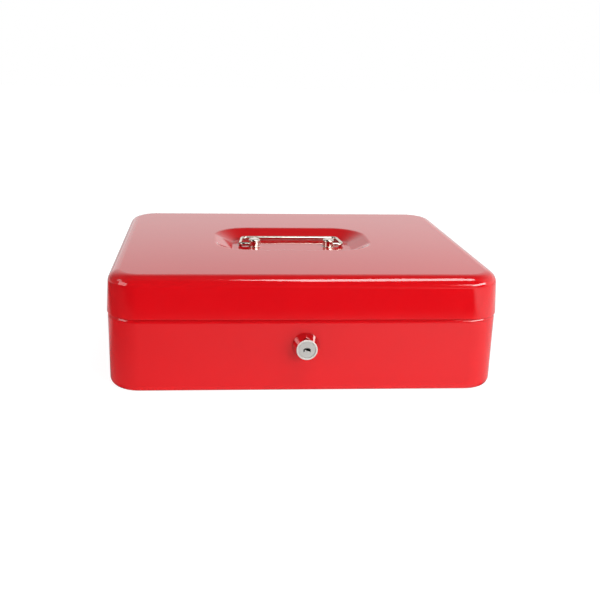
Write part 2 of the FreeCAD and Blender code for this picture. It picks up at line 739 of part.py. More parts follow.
for number in range(int(value("wafer_count"))):
    level = f"({slot_top} - {number} * wafer_pitch)"
    rectangle(wafer_slots, "-wafer_width / 2 - wafer_clearance", "wafer_width / 2 + wafer_clearance",
              f"{level} - wafer_thickness - wafer_clearance", f"{level} + wafer_clearance")
pocket(lock_plug, wafer_slots, "2 * plug_diameter", both_ways=True)
screw_bore = sketch_on(lock_plug, "screw_bore", "XY_Plane", f"{plug_rear} - cam_thickness")
circle(screw_bore, "0", "0", "cam_screw_diameter / 2")
pocket(lock_plug, screw_bore, "cam_screw_reach + screw_clearance", upwards=True)
place_in_lock(lock_plug)

# Wafers, drawn level with the plug's skin as a key would hold them
wafer_parts = []
for number in range(int(value("wafer_count"))):
    wafer = new_body(f"plug_wafer_{number + 1}")
    face = sketch_on(wafer, f"plug_wafer_{number + 1}_face", "XY_Plane",
                     f"{slot_top} - {number} * wafer_pitch")
    rectangle(face, "-wafer_length / 2", "wafer_length / 2", "-wafer_width / 2", "wafer_width / 2")
    rectangle(face, "-wafer_window_length / 2", "wafer_window_length / 2", "-wafer_window_width / 2",
              "wafer_window_width / 2")
    pad(wafer, face, "wafer_thickness", downwards=True)
    place_in_lock(wafer)
    wafer_parts.append(wafer)
plug_wafers = group("plug_wafers", wafer_parts)

# Lock washer and hexagon nut on the barrel, behind the wall
lock_washer = washer("lock_washer", "lock_washer_diameter", "barrel_diameter / 2 + barrel_hole_clearance",
                     "lock_washer_thickness", "-sheet_steel")
place_in_lock(lock_washer)
lock_nut = new_body("lock_nut")
nut_face = sketch_on(lock_nut, "nut_face", "XY_Plane", "-sheet_steel - lock_washer_thickness")
hexagon(nut_face, "nut_across_flats")
circle(nut_face, "0", "0", "barrel_diameter / 2 + nut_clearance")
pad(lock_nut, nut_face, "nut_height", downwards=True)
place_in_lock(lock_nut)

# Hook cam on the plug's tail, lying to the left while unlocked; a quarter turn stands it up
# and brings the hook over the strike's lip
lock_cam = new_body("lock_cam")
cam_hub = sketch_on(lock_cam, "cam_hub", "XY_Plane", plug_rear)
circle(cam_hub, "0", "0", "cam_hub_diameter / 2")
pad(lock_cam, cam_hub, "cam_thickness", downwards=True)
cam_arm = sketch_on(lock_cam, "cam_arm", "XY_Plane", plug_rear)
cam_side = "(cam_width / 2)"
cam_tip = f"({cam_side} + cam_hook_length)"
outline(cam_arm, [
    ("0", f"-{cam_side}"),
    ("0", cam_side),
    ("cam_hook_width - cam_reach", cam_side, "cam_corner"),
    ("cam_hook_width - cam_reach", cam_tip, "cam_corner"),
    ("-cam_reach", cam_tip, "cam_corner"),
    ("-cam_reach", f"-{cam_side}", "cam_corner"),
])
pad(lock_cam, cam_arm, "cam_thickness", downwards=True)
cam_square = sketch_on(lock_cam, "cam_square", "XY_Plane", plug_rear)
cam_square_side = "(tail_square / 2 + tail_clearance)"
rectangle(cam_square, f"-{cam_square_side}", cam_square_side, f"-{cam_square_side}", cam_square_side)
pocket(lock_cam, cam_square, "2 * cam_thickness")
place_in_lock(lock_cam)

# Screw and washer that hold the cam
cam_back = f"({plug_rear} - cam_thickness)"
cam_washer = washer("cam_washer", "cam_washer_diameter", "(cam_screw_diameter + screw_clearance) / 2",
                    "cam_washer_thickness", cam_back)
place_in_lock(cam_washer)
cam_screw = pan_screw("cam_screw", "cam_screw_diameter", "(cam_washer_thickness + cam_screw_reach)",
                      "cam_screw_head_diameter", "cam_screw_head_height",
                      f"({cam_back} - cam_washer_thickness)")
place_in_lock(cam_screw)

# Strike: a bracket welded inside the lid's front wall, stepped inward past the tub's rim,
# with a lip at its foot for the hook
lid_strike = new_body("lid_strike")
strike_step = f"({rim_top} + strike_rise)"
strike_top = "(box_height - lid_top_radius - strike_top_clearance)"
lip_top = "(lock_height + cam_reach - cam_hook_width - strike_hook_gap)"
lip_low = f"({lip_top} - strike_thickness)"
lip_end = f"({lock_front} + {cam_back} - strike_lip_margin)"
web_front = f"({half_depth} - {rim_inner} - strike_clearance)"
web_back = f"({web_front} - strike_thickness)"
strike_fold = "(strike_thickness * tan((90 - strike_slope) / 2))"


def lid_front_inside(level):
    """Distance of the front wall's inner face from the middle of the lid."""
    return f"({half_depth} - sheet_steel - ({level} - {lid_edge}) * tan(lid_draft))"


strike_inset = f"({lid_front_inside(strike_step)} - {web_front})"
web_shoulder = f"({strike_step} - {strike_inset} * tan(strike_slope))"
web = sketch_on(lid_strike, "web", "YZ_Plane")
outline(web, [
    (f"-{lid_front_inside(strike_top)}", strike_top),
    (f"-{lid_front_inside(strike_step)}", strike_step),
    (f"-{web_front}", web_shoulder),
    (f"-{web_front}", lip_low),
    (f"-{web_back}", lip_low),
    (f"-{web_back}", f"{web_shoulder} + {strike_fold}"),
    (f"-{lid_front_inside(strike_step)} + strike_thickness", f"{strike_step} + {strike_fold}"),
    (f"-{lid_front_inside(strike_top)} + strike_thickness", strike_top),
])
pad(lid_strike, web, "strike_width", both_ways=True)
lip = sketch_on(lid_strike, "lip", "YZ_Plane", "strike_lip_start")
rectangle(lip, f"-{web_front}", f"-{lip_end}", lip_low, lip_top)
pad(lid_strike, lip, "strike_width / 2 - strike_lip_start")

# Coin tray: a moulded block with five coin cups behind and three wide cups in front, a flange
# that lies on the rests, and a notch that leaves room for the lock
coin_tray = new_body("coin_tray")
tray_side = f"({rest_edge} - tray_clearance)"
tray_inset = f"({half_width} - {tray_side})"
tray_front = f"({half_depth} - {tray_inset})"
flange_back = f"({hinge_back} - {knuckle_radius} - tray_back_clearance)"
tray_back = f"({flange_back} - tray_flange_width)"
tray_corner = f"(corner_radius - {tray_inset})"
tray_top = f"({rest_top} + tray_flange_thickness)"
tray_floor = f"({tray_top} - tray_depth + tray_wall)"
lock_back = f"({cam_back} - cam_washer_thickness - cam_screw_head_height)"
notch_back = f"({lock_front} + {lock_back} - tray_notch_margin)"
block = sketch_on(coin_tray, "block", "XY_Plane", f"{tray_top} - tray_depth")
rectangle(block, f"-{tray_side}", tray_side, f"-{tray_front}", tray_back, tray_corner)
pad(coin_tray, block, "tray_depth")
flange = sketch_on(coin_tray, "flange", "XY_Plane", rest_top)
flange_side = f"({tray_side} + tray_flange_width)"
flange_front = f"({tray_front} + tray_flange_width)"
rectangle(flange, f"-{flange_side}", flange_side, f"-{flange_front}", flange_back,
          f"{tray_corner} + tray_flange_width")
pad(coin_tray, flange, "tray_flange_thickness")

cups = sketch_on(coin_tray, "cups", "XY_Plane", tray_top)
cup_side = f"({tray_side} - tray_wall)"
cup_front = f"({tray_front} - tray_wall)"
cup_back = f"({tray_back} - tray_wall)"
outer_corner = f"({tray_corner} - tray_wall)"
row_low = "(tray_row_split - tray_wall / 2)"
row_high = "(tray_row_split + tray_wall / 2)"
middle = "(tray_middle_width / 2)"
for side in ("", "-"):
    outline(cups, [
        (f"{side}({middle} + tray_wall)", f"-{cup_front}", "tray_cup_corner"),
        (f"{side}{cup_side}", f"-{cup_front}", outer_corner),
        (f"{side}{cup_side}", row_low, "tray_cup_corner"),
        (f"{side}({middle} + tray_wall)", row_low, "tray_cup_corner"),
    ])
rectangle(cups, f"-{middle}", middle, f"tray_wall - {notch_back}", row_low, "tray_cup_corner")
cup_count = int(value("tray_coin_cups"))
cup_width = f"((2 * {cup_side} - (tray_coin_cups - 1) * tray_wall) / tray_coin_cups)"
for number in range(cup_count):
    left = f"({number} * ({cup_width} + tray_wall) - {cup_side})"
    right = f"({left} + {cup_width})"
    outline(cups, [
        (left, row_high, "tray_cup_corner"),
        (right, row_high, "tray_cup_corner"),
        (right, cup_back, outer_corner if number == cup_count - 1 else "tray_cup_corner"),
        (left, cup_back, outer_corner if number == 0 else "tray_cup_corner"),
    ])
pocket(coin_tray, cups, "tray_depth - tray_wall")
notch = sketch_on(coin_tray, "notch", "XY_Plane", tray_top)
rectangle(notch, f"-{middle}", middle, f"-2 * {half_depth}", f"-{notch_back}", "tray_cup_corner")
pocket(coin_tray, notch, "2 * tray_depth")


def round_level(body, name, level, radius):
    """Round every edge of a body that lies flat at one level."""
    height = value(level)
    base = body.Tip
    edges = []
    for index, edge in enumerate(base.Shape.Edges, start=1):
        if abs(edge.BoundBox.ZMin - height) < 1e-4 and abs(edge.BoundBox.ZMax - height) < 1e-4:
            edges.append(f"Edge{index}")
    feature = body.newObject("PartDesign::Fillet", name)
    feature.Base = (base, edges)
    feature.setExpression("Radius", formula(radius))
    doc.recompute()


round_level(coin_tray, "cup_feet", tray_floor, "tray_cup_foot")

# Nothing is written unless every object came out sound
doc.recompute()
NODES = [
    body_shell, tray_rest_left, tray_rest_right, hinge_leaf_body, hinge_pin,
    lock_housing, lock_washer, lock_nut,
    lid_shell, hinge_leaf_lid, lid_strike, handle_post_left, handle_post_right, post_washers, post_screws,
    handle_bail, lock_plug, plug_wafers, lock_cam, cam_washer, cam_screw, coin_tray,
]
for item in doc.Objects:
    if {"Invalid", "Error"} & set(item.State):
        raise RuntimeError(f"{item.Label} failed: {item.State}")
for node in NODES:
    if node.Shape.isNull() or not node.Shape.isValid():
        raise RuntimeError(f"{node.Label} has no sound shape")

os.makedirs("parts", exist_ok=True)
for node in NODES:
    node.Shape.exportStep(f"parts/{node.Label}.step")
    print(node.Label, len(node.Shape.Solids), round(node.Shape.Volume, 1))
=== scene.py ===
"""Cash box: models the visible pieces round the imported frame, finishes them and sets the studio."""

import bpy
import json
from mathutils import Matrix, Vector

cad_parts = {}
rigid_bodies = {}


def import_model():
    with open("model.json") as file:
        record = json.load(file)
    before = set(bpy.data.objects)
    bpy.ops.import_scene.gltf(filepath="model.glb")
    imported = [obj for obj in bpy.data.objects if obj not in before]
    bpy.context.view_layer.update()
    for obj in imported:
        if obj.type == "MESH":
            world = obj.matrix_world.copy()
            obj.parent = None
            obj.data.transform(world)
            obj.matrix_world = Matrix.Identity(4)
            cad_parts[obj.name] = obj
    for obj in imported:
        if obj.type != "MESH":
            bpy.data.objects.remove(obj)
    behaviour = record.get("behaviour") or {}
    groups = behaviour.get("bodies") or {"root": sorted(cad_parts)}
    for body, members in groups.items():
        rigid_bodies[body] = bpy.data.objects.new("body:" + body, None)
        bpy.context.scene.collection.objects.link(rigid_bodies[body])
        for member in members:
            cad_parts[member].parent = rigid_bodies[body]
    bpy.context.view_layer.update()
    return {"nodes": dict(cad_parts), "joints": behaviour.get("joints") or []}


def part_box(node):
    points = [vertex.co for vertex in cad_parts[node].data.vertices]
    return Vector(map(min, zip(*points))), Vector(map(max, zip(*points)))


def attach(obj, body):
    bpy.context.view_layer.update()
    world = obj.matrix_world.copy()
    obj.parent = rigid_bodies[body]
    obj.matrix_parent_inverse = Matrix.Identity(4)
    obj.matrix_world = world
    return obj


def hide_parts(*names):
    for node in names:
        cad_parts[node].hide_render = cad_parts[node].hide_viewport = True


bl_info = {
    "name": "Cash box",
    "version": (1, 0, 0),
    "blender": (4, 5, 0),
    "location": "View3D > Sidebar > Cash box",
    "description": "Models a steel cash box piece by piece and lights it for a studio picture",
    "category": "Object",
}

import json
import math

import bmesh
import bpy
from bpy.props import FloatProperty, FloatVectorProperty, IntProperty, PointerProperty
from mathutils import Matrix, Vector

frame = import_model()

# One millimetre, in metres
MM = 0.001

# Places read from the frame
LID_LOW, LID_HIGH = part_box("lid_shell")
TUB_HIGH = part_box("body_shell")[1]
POST_LOW, POST_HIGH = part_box("handle_post_right")
BAIL_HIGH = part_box("handle_bail")[1]
PIN_LOW, PIN_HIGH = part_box("hinge_pin")
TRAY_LOW, TRAY_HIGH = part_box("coin_tray")
SCREW_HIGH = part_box("post_screws")[1]
JOINTS = {joint["name"]: joint for joint in frame["joints"]}
LOCK_TURN = JOINTS["lock_turn"]
BAIL_PIVOT = Vector(JOINTS["handle_hinge"]["pos_m"])

# Half of the lid's width and depth, the middle of the right post, and the hinge's axis
HALF_X = LID_HIGH.x
HALF_Y = -LID_LOW.y
POST_X = (POST_LOW.x + POST_HIGH.x) / 2
POST_Y = (POST_LOW.y + POST_HIGH.y) / 2
HINGE_Y = (PIN_LOW.y + PIN_HIGH.y) / 2
HINGE_Z = (PIN_LOW.z + PIN_HIGH.z) / 2

# Faces round a turned piece, a corner or a bend
LOCK_FACES = 72
ROUND_FACES = 48
SCREW_FACES = 40
BORE_FACES = 32
WIRE_FACES = 24
WIRE_BEND_FACES = 12
WIRE_END_FACES = 3
WARD_FACES = 24
TRAY_CORNER_FACES = 12
NOTCH_FACES = 10
CUP_CORNER_FACES = 8
KEYWAY_FACES = 8
EDGE_FACES = 6

# Edge breaks, from a wiped burr to a full rounding
BURR = 0.1 * MM
FAINT_EDGE = 0.15 * MM
THIN_EDGE = 0.2 * MM
SMALL_EDGE = 0.3 * MM
SOFT_EDGE = 0.35 * MM
PLAIN_EDGE = 0.4 * MM
FULL_EDGE = 0.5 * MM

# Points nearer than this are one point, and a fold sharper than this keeps a crisp edge
TOUCHING = 1e-6
CRISP_FOLD = math.radians(32)

# How far shapes reach past the face they cut or join, past the shells and past the lock
PAST_FACE = 1 * MM
OVERSHOOT = 5 * MM
LOCK_OVERSHOOT = 20 * MM


# Sizes that a user would change
def length(title, about, millimetres):
    """A length setting, given in millimetres."""
    return FloatProperty(name=title, description=about, default=millimetres * MM, unit="LENGTH", precision=5)


def angle(title, about, degrees):
    """An angle setting, given in degrees."""
    return FloatProperty(name=title, description=about, default=math.radians(degrees), subtype="ANGLE")


def watts(title, about, power):
    """A lamp's power setting, given in watts."""
    return FloatProperty(name=title, description=about, default=power, unit="POWER")


def linear(code):
    """Linear colour of an sRGB hex value."""
    parts = [int(code[start:start + 2], 16) / 255 for start in (1, 3, 5)]
    return [part / 12.92 if part <= 0.04045 else ((part + 0.055) / 1.055) ** 2.4 for part in parts]


class CashBoxShellSizes(bpy.types.PropertyGroup):
    sheet: length("Sheet", "Thickness of the drawn steel sheet", 1.0)
    corner: length("Corner", "Outside radius of the upright corners", 26.0)
    sheet_edge: length("Sheet edge", "Rounding of the sheet's free edges", 0.35)
    base_radius: length("Base radius", "Rounding where the tub's wall meets its base", 5.5)
    base_tuck: length("Base tuck", "How far the tub's wall leans in at its base", 1.92)
    belt_level: length("Belt level", "Height at which the tub is widest", 54.0)
    shoulder_rise: length("Shoulder rise", "Height of the shoulder bend's corner above the widest line", 1.95)
    shoulder_bend: length("Shoulder bend", "Radius of the shoulder's outside bend", 4.6)
    belt_tuck: length("Belt tuck", "How far the tub's widest line lies inside the lid's edge", 0.6)
    shoulder_level: length("Shoulder level", "Height at which the shoulder meets the rim", 57.5)
    rim_tuck: length("Rim tuck", "How far the rim lies inside the lid's edge", 1.8)
    rim_bend: length("Rim bend", "Outside radius where the shoulder meets the rim", 1.0)
    inner_rim_bend: length("Inner rim bend", "Inside radius where the shoulder meets the rim", 4.0)
    inner_belt_bend: length("Inner belt bend", "Inside radius at the tub's widest line", 3.0)
    hinge_gap: length("Hinge gap", "How far the back walls are cut back from the hinge's axis", 4.6)
    lid_lean: length("Lid lean", "How far the lid's wall leans in at its top", 1.121)
    lid_drop: length("Lid drop", "How far the lid's edge reaches down into the seam", 0.25)
    lid_edge: length("Lid edge", "Outside rounding of the lid's lower edge", 0.49)
    inner_lid_edge: length("Inner lid edge", "Inside rounding of the lid's lower edge", 0.175)
    lid_radius: length("Lid radius", "Rounding between the lid's wall and its top", 9.0)
    recess_length: length("Recess length", "Length of the handle recess's floor", 104.0)
    recess_width: length("Recess width", "Width of the handle recess's floor", 52.0)
    recess_corner: length("Recess corner", "Corner radius of the recess's floor", 14.0)
    recess_run: length("Recess run", "How far the recess's side runs out on its way up", 15.0)
    recess_lip: length("Recess lip", "Rounding of the recess's mouth", 6.0)
    recess_foot: length("Recess foot", "Rounding of the recess's floor edge", 2.5)
    corner_steps: IntProperty(name="Corner steps", description="Faces round one upright corner", default=20)
    bend_steps: IntProperty(name="Bend steps", description="Faces round one bend of the sheet", default=7)


class CashBoxHandleSizes(bpy.types.PropertyGroup):
    wire: length("Wire", "Diameter of the handle's wire", 3.2)
    wire_end: length("Wire end", "Distance from the middle to each wire end", 35.0)
    leg_splay: length("Leg splay", "How much nearer the legs stand at the hand bar", 2.4)
    leg_bend: length("Leg bend", "Bend radius where the wire leaves the post", 4.0)
    bar_bend: length("Bar bend", "Bend radius at each end of the hand bar", 5.0)
    post_flange: length("Post flange", "Height of the post's foot", 0.4)
    post_body: length("Post body", "Diameter of the post's body", 9.2)
    post_head: length("Post head", "Diameter of the post's head", 10.0)
    post_head_height: length("Post head height", "Height of the post's head", 2.0)
    post_dome: length("Post dome", "Rounding of the post's head", 1.5)
    post_bore: length("Post bore", "Diameter of the hole that the wire turns in", 3.32)
    post_bore_depth: length("Post bore depth", "Depth of the hole that the wire turns in", 2.6)


class CashBoxLockSizes(bpy.types.PropertyGroup):
    flange: length("Flange", "Diameter of the bezel's flange", 20.6)
    flange_edge: length("Flange edge", "Thickness of the flange at its rim", 0.6)
    nose: length("Nose", "Diameter of the bezel's raised ring", 15.5)
    nose_reach: length("Nose reach", "How far the raised ring stands out", 8.5)
    nose_edge: length("Nose edge", "Outside rounding of the raised ring", 0.6)
    mouth: length("Mouth", "Diameter of the opening in the raised ring", 13.06)
    mouth_depth: length("Mouth depth", "Depth of the opening in the raised ring", 1.6)
    mouth_edge: length("Mouth edge", "Rounding of the opening in the raised ring", 0.35)
    bore: length("Bore", "Diameter of the bore that the plug turns in", 11.56)
    barrel: length("Barrel", "Diameter of the barrel behind the wall", 15.6)
    barrel_flats: length("Barrel flats", "Width over the barrel's flats", 13.0)
    barrel_length: length("Barrel length", "Length of the barrel behind the flange", 14.6)
    hole_play: length("Hole play", "Gap all round between the barrel and its hole in the wall", 0.2)
    plug: length("Plug", "Diameter of the plug's body", 11.4)
    plug_rear: length("Plug rear", "How far the plug's body reaches behind the wall", 15.0)
    plug_face: length("Plug face", "How far the plug's face stands out", 8.2)
    plug_head: length("Plug head", "Diameter of the plug's face", 12.9)
    plug_edge: length("Plug edge", "Rounding of the plug's face", 0.6)
    plug_play: length("Plug play", "Gap behind the plug's head", 0.08)
    tail: length("Tail", "Width of the plug's square tail", 6.0)
    tail_length: length("Tail length", "Length of the plug's square tail", 1.9)
    keyway_length: length("Keyway length", "Length of the key slot", 5.4)
    keyway_width: length("Keyway width", "Width of the key slot", 2.3)
    keyway_arch: length("Keyway arch", "How far the key slot's middle stands above its ends", 1.0)
    keyway_depth: length("Keyway depth", "Depth of the key slot", 17.0)
    ward: length("Ward", "Diameter of the round ward at the key slot's edge", 1.3)
    ward_across: length("Ward across", "Place of the ward across the plug's face", -1.1)
    ward_up: length("Ward up", "Place of the ward up the plug's face", -0.55)
    ward_rise: length("Ward rise", "How far the ward stands above the plug's face", 0.28)
    ward_depth: length("Ward depth", "Length of the ward", 4.0)
    wafer_top: length("Wafer top", "How far the first wafer's slot lies before the wall", 3.96)
    wafer_slot: length("Wafer slot", "Thickness of the wafers' slots", 1.12)
    wafer_slot_width: length("Wafer slot width", "Width of the wafers' slots", 5.12)
    wafer_pitch: length("Wafer pitch", "Distance from one wafer to the next", 2.4)
    wafer_count: IntProperty(name="Wafer count", description="Number of wafers in the plug", default=4)
    nut_flats: length("Nut flats", "Width over the nut's flats", 21.0)
    nut_bore: length("Nut bore", "Diameter of the nut's hole", 15.8)
    nut_near: length("Nut near", "How far the nut's near face lies behind the flange", 1.8)
    nut_height: length("Nut height", "Thickness of the nut", 3.2)


class CashBoxScrewSizes(bpy.types.PropertyGroup):
    post_shank: length("Post screw shank", "Diameter of the post screws", 3.0)
    post_reach: length("Post screw reach", "Length of the post screws under their heads", 4.8)
    post_head: length("Post screw head", "Diameter of the post screws' heads", 6.0)
    post_rise: length("Post screw rise", "Height of the post screws' heads", 2.0)
    cam_shank: length("Cam screw shank", "Diameter of the cam's screw", 3.5)
    cam_reach: length("Cam screw reach", "Length of the cam's screw under its head", 6.6)
    cam_play: length("Cam screw play", "How much deeper the plug's hole is than the cam's screw", 0.2)
    cam_head: length("Cam screw head", "Diameter of the cam screw's head", 7.0)
    cam_rise: length("Cam screw rise", "Height of the cam screw's head", 2.2)
    cam_seat: length("Cam screw seat", "How far the seat of the cam's screw lies behind the flange", 17.6)
    dome: length("Dome", "Rounding of the heads", 1.3)
    cross: length("Cross", "Span of the cross recess", 3.4)
    cross_slot: length("Cross slot", "Width of the cross recess's slots", 0.75)
    cross_depth: length("Cross depth", "Depth of the cross recess", 1.2)


class CashBoxTraySizes(bpy.types.PropertyGroup):
    flange: length("Flange", "Width of the flange that the tray hangs by", 4.0)
    flange_thickness: length("Flange thickness", "Thickness of the flange", 2.0)
    flange_fillet: length("Flange fillet", "Rounding under the flange", 1.0)
    corner: length("Corner", "Corner radius of the flange", 18.18)
    wall: length("Wall", "Thickness of the walls and the floor", 2.0)
    base_radius: length("Base radius", "Rounding of the lower edge", 3.0)
    rim: length("Rim", "Rounding of the cups' rims", 0.7)
    cup_corner: length("Cup corner", "Corner radius of the cups", 8.0)
    cup_foot: length("Cup foot", "Rounding at the foot of the cups", 5.0)
    split: length("Split", "Place of the wall between the two rows of cups", 8.0)
    middle: length("Middle", "Width of the middle front cup", 64.0)
    notch: length("Notch", "Depth of the notch that clears the lock", 17.0)
    coin_cups: IntProperty(name="Coin cups", description="Number of coin cups in the back row", default=5)


class CashBoxFinishes(bpy.types.PropertyGroup):
    enamel: FloatVectorProperty(
        name="Enamel", description="Colour of the enamel", subtype="COLOR", size=3, default=linear("#D60C15"))
    enamel_roughness: FloatProperty(
        name="Enamel roughness", description="Roughness of the enamel", default=0.075, subtype="FACTOR")


class CashBoxStudio(bpy.types.PropertyGroup):
    camera_place: FloatVectorProperty(
        name="Camera place", description="Where the camera stands", subtype="TRANSLATION", size=3,
        default=(-0.073263, -0.702421, 0.259046))
    camera_yaw: angle("Camera yaw", "How far the camera looks to the right", 3.483)
    camera_pitch: angle("Camera pitch", "How far the camera looks down", 10.773)
    camera_roll: angle("Camera roll", "How far the camera is tilted", 1.008)
    camera_lens: FloatProperty(
        name="Camera lens", description="Focal length in millimetres on a 36 mm frame", default=49.566)
    camera_shift: FloatVectorProperty(
        name="Camera shift", description="Shift of the picture in widths of the frame", size=2,
        default=(0.07, -0.166667))
    fill: FloatProperty(name="Fill", description="Soft light from all round", default=0.12)
    table: FloatProperty(name="Table", description="Light that comes through the white table", default=0.90)
    right: watts("Right", "Power of the front right softbox", 8.6)
    left: watts("Left", "Power of the front left softbox", 2.8)
    top: watts("Top", "Power of the strip above the lid's front edge", 5.8)
    back: watts("Back", "Power of the softbox behind the box", 5.0)
    crest: watts("Crest", "Power of the small softbox above the left end", 0.4)


# Drawing helpers that work in edit mode on the active mesh
def object_mode():
    """Leave edit mode with nothing selected."""
    if bpy.context.object and bpy.context.object.mode != "OBJECT":
        bpy.ops.object.mode_set(mode="OBJECT")
    bpy.ops.object.select_all(action="DESELECT")


def start_piece(name):
    """A new mesh object at the origin, in edit mode and still empty."""
    object_mode()
    bpy.ops.mesh.primitive_plane_add(size=MM, location=(0, 0, 0))
    piece = bpy.context.object
    piece.name = name
    piece.data.name = name
    bpy.ops.object.mode_set(mode="EDIT")
    bpy.ops.mesh.select_mode(type="VERT")
    bpy.ops.mesh.select_all(action="SELECT")
    bpy.ops.mesh.delete(type="VERT")
    return piece


def start_line(place):
    """One loose vertex in the mesh being edited, selected on its own."""
    bpy.ops.mesh.select_mode(type="VERT")
    bpy.ops.mesh.select_all(action="DESELECT")
    bpy.ops.mesh.primitive_plane_add(size=MM, location=place)
    bpy.ops.mesh.merge(type="CENTER")


def extrude_by(offset):
    """Extrude what is selected in the mesh being edited."""
    bpy.ops.mesh.extrude_region_move(TRANSFORM_OT_translate={"value": offset})


def draw_on(points):
    """Extrude the selected vertex along the points, then select the whole line."""
    for here, there in zip(points, points[1:]):
        extrude_by(Vector(there) - Vector(here))
    bpy.ops.mesh.select_linked()


def rounded(corners, steps):
    """The points of a line through the corners, each (across, up, radius), with its bends drawn as arcs."""
    points = []
    for index, (across, up, radius) in enumerate(corners):
        here = Vector((across, up))
        if radius == 0 or index in (0, len(corners) - 1):
            points.append(here)
            continue
        before = (Vector(corners[index - 1][:2]) - here).normalized()
        after = (Vector(corners[index + 1][:2]) - here).normalized()
        half = before.angle(after) / 2
        centre = here + (before + after).normalized() * radius / math.sin(half)
        first = here + before * radius / math.tan(half) - centre
        last = here + after * radius / math.tan(half) - centre
        turn = first.angle_signed(last)
        for step in range(steps + 1):
            points.append(centre + Matrix.Rotation(-turn * step / steps, 2) @ first)
    return points


def sweep_round(section, low, high, corners, steps):
    """Draw the section at the right side's near end and carry it round a rectangle with rounded corners."""
    back_right, back_left, front_left, front_right = corners
    wide = high[0] - low[0]
    deep = high[1] - low[1]
    path = [Vector((across, low[1] + front_right, up)) for across, up in section]
    start_line(path[0])
    draw_on(path)
    sides = (
        ((0, deep - front_right - back_right), (high[0] - back_right, high[1] - back_right)),
        ((back_right + back_left - wide, 0), (low[0] + back_left, high[1] - back_left)),
        ((0, back_left + front_left - deep), (low[0] + front_left, low[1] + front_left)),
        ((wide - front_left - front_right, 0), (high[0] - front_right, low[1] + front_right)),
    )
    for run, centre in sides:
        extrude_by((*run, 0))
        bpy.ops.mesh.spin(steps=steps, angle=-math.pi / 2, center=(*centre, 0), axis=(0, 0, 1))


def merge_and_face_out():
    """Close the seams of the mesh being edited and turn its faces outward."""
    bpy.ops.mesh.select_all(action="SELECT")
    bpy.ops.mesh.remove_doubles(threshold=TOUCHING)
    bpy.ops.mesh.normals_make_consistent(inside=False)


def select_edges(piece, wanted):
    """Select the edges of the mesh being edited that pass the test."""
    bpy.ops.mesh.select_mode(type="EDGE")
    bpy.ops.mesh.select_all(action="DESELECT")
    mesh = bmesh.from_edit_mesh(piece.data)
    for edge in mesh.edges:
        if wanted(edge):
            edge.select = True
    mesh.select_flush_mode()
    bmesh.update_edit_mesh(piece.data)


def open_edge_at(level):
    """A test for open edges that lie at one height."""
    return lambda edge: edge.is_boundary and all(abs(vertex.co.z - level) < TOUCHING for vertex in edge.verts)


def cap_at(piece, *levels):
    """Close the one opening at each height with a single flat face."""
    for level in levels:
        select_edges(piece, open_edge_at(level))
        bpy.ops.mesh.edge_face_add()


def fill_at(piece, *levels):
    """Fill between the outer and inner openings at each height."""
    for level in levels:
        select_edges(piece, open_edge_at(level))
        bpy.ops.mesh.fill(use_beauty=True)


def make_active(piece):
    """Leave edit mode with this piece alone selected."""
    object_mode()
    bpy.context.view_layer.objects.active = piece
    piece.select_set(True)


def combine(piece, other, operation="DIFFERENCE"):
    """Cut the other shape out of the piece, add it or keep what they share, then remove the other shape."""
    make_active(piece)
    change = piece.modifiers.new("change", "BOOLEAN")
    change.operation = operation
    change.solver = "EXACT"
    change.object = other
    bpy.ops.object.modifier_apply(modifier=change.name)
    bpy.data.objects.remove(other, do_unlink=True)


def block(low, high):
    """A plain block between two corners, used only to cut with or to add."""
    object_mode()
    low = Vector(low)
    high = Vector(high)
    bpy.ops.mesh.primitive_cube_add(size=1, location=(low + high) / 2, scale=high - low)
    return bpy.context.object


def turned(name, section, faces):
    """A turned piece about the Z axis: the section's points are (radius, height)."""
    piece = start_piece(name)
    line = [(radius, 0, height) for radius, height in section]
    start_line(line[0])
    draw_on(line)
    bpy.ops.mesh.spin(steps=faces, angle=-2 * math.pi, center=(0, 0, 0), axis=(0, 0, 1))
    merge_and_face_out()
    return piece


def rod(name, radius, low, high, faces):
    """A plain rod about the Z axis, used only to cut with."""
    return turned(name, [(0, low), (radius, low), (radius, high), (0, high)], faces)


def copy_of(piece, name):
    """A second piece of the same shape, with its own mesh."""
    copy = piece.copy()
    copy.data = piece.data.copy()
    copy.name = name
    bpy.context.scene.collection.objects.link(copy)
    return copy


def place_piece(piece, matrix):
    """Move a piece made at the origin to its place and put the place into its mesh."""
    make_active(piece)
    piece.matrix_world = matrix
    bpy.ops.object.transform_apply(location=True, rotation=True, scale=True)


def finish_piece(piece, body, slot, *nodes, finish=None):
    """Shade a piece, give it its slot's finish or another, and put it on its body in place of CAD nodes."""
    make_active(piece)
    bpy.ops.object.shade_smooth_by_angle(angle=CRISP_FOLD)
    weighted = piece.modifiers.new("even shading", "WEIGHTED_NORMAL")
    weighted.keep_sharp = True
    bpy.ops.object.modifier_apply(modifier=weighted.name)
    piece.data.materials.clear()
    piece.data.materials.append(finish_for(finish or slot))
    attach(piece, body)
    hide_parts(*nodes)


def finish_faces(piece, finish, wanted):
    """Give the faces that pass the test a second finish."""
    piece.data.materials.append(finish_for(finish))
    for face in piece.data.polygons:
        if wanted(face):
            face.material_index = 1


# Materials
def add_node(tree, kind, settings=None, inputs=None):
    """One node with its settings; an input is a value or another node's output socket."""
    made = tree.nodes.new(kind)
    for name, value in (settings or {}).items():
        setattr(made, name, value)
    for name, value in (inputs or {}).items():
        socket = made.inputs[name]
        if isinstance(value, bpy.types.NodeSocket):
            tree.links.new(value, socket)
        else:
            socket.default_value = value
    return made


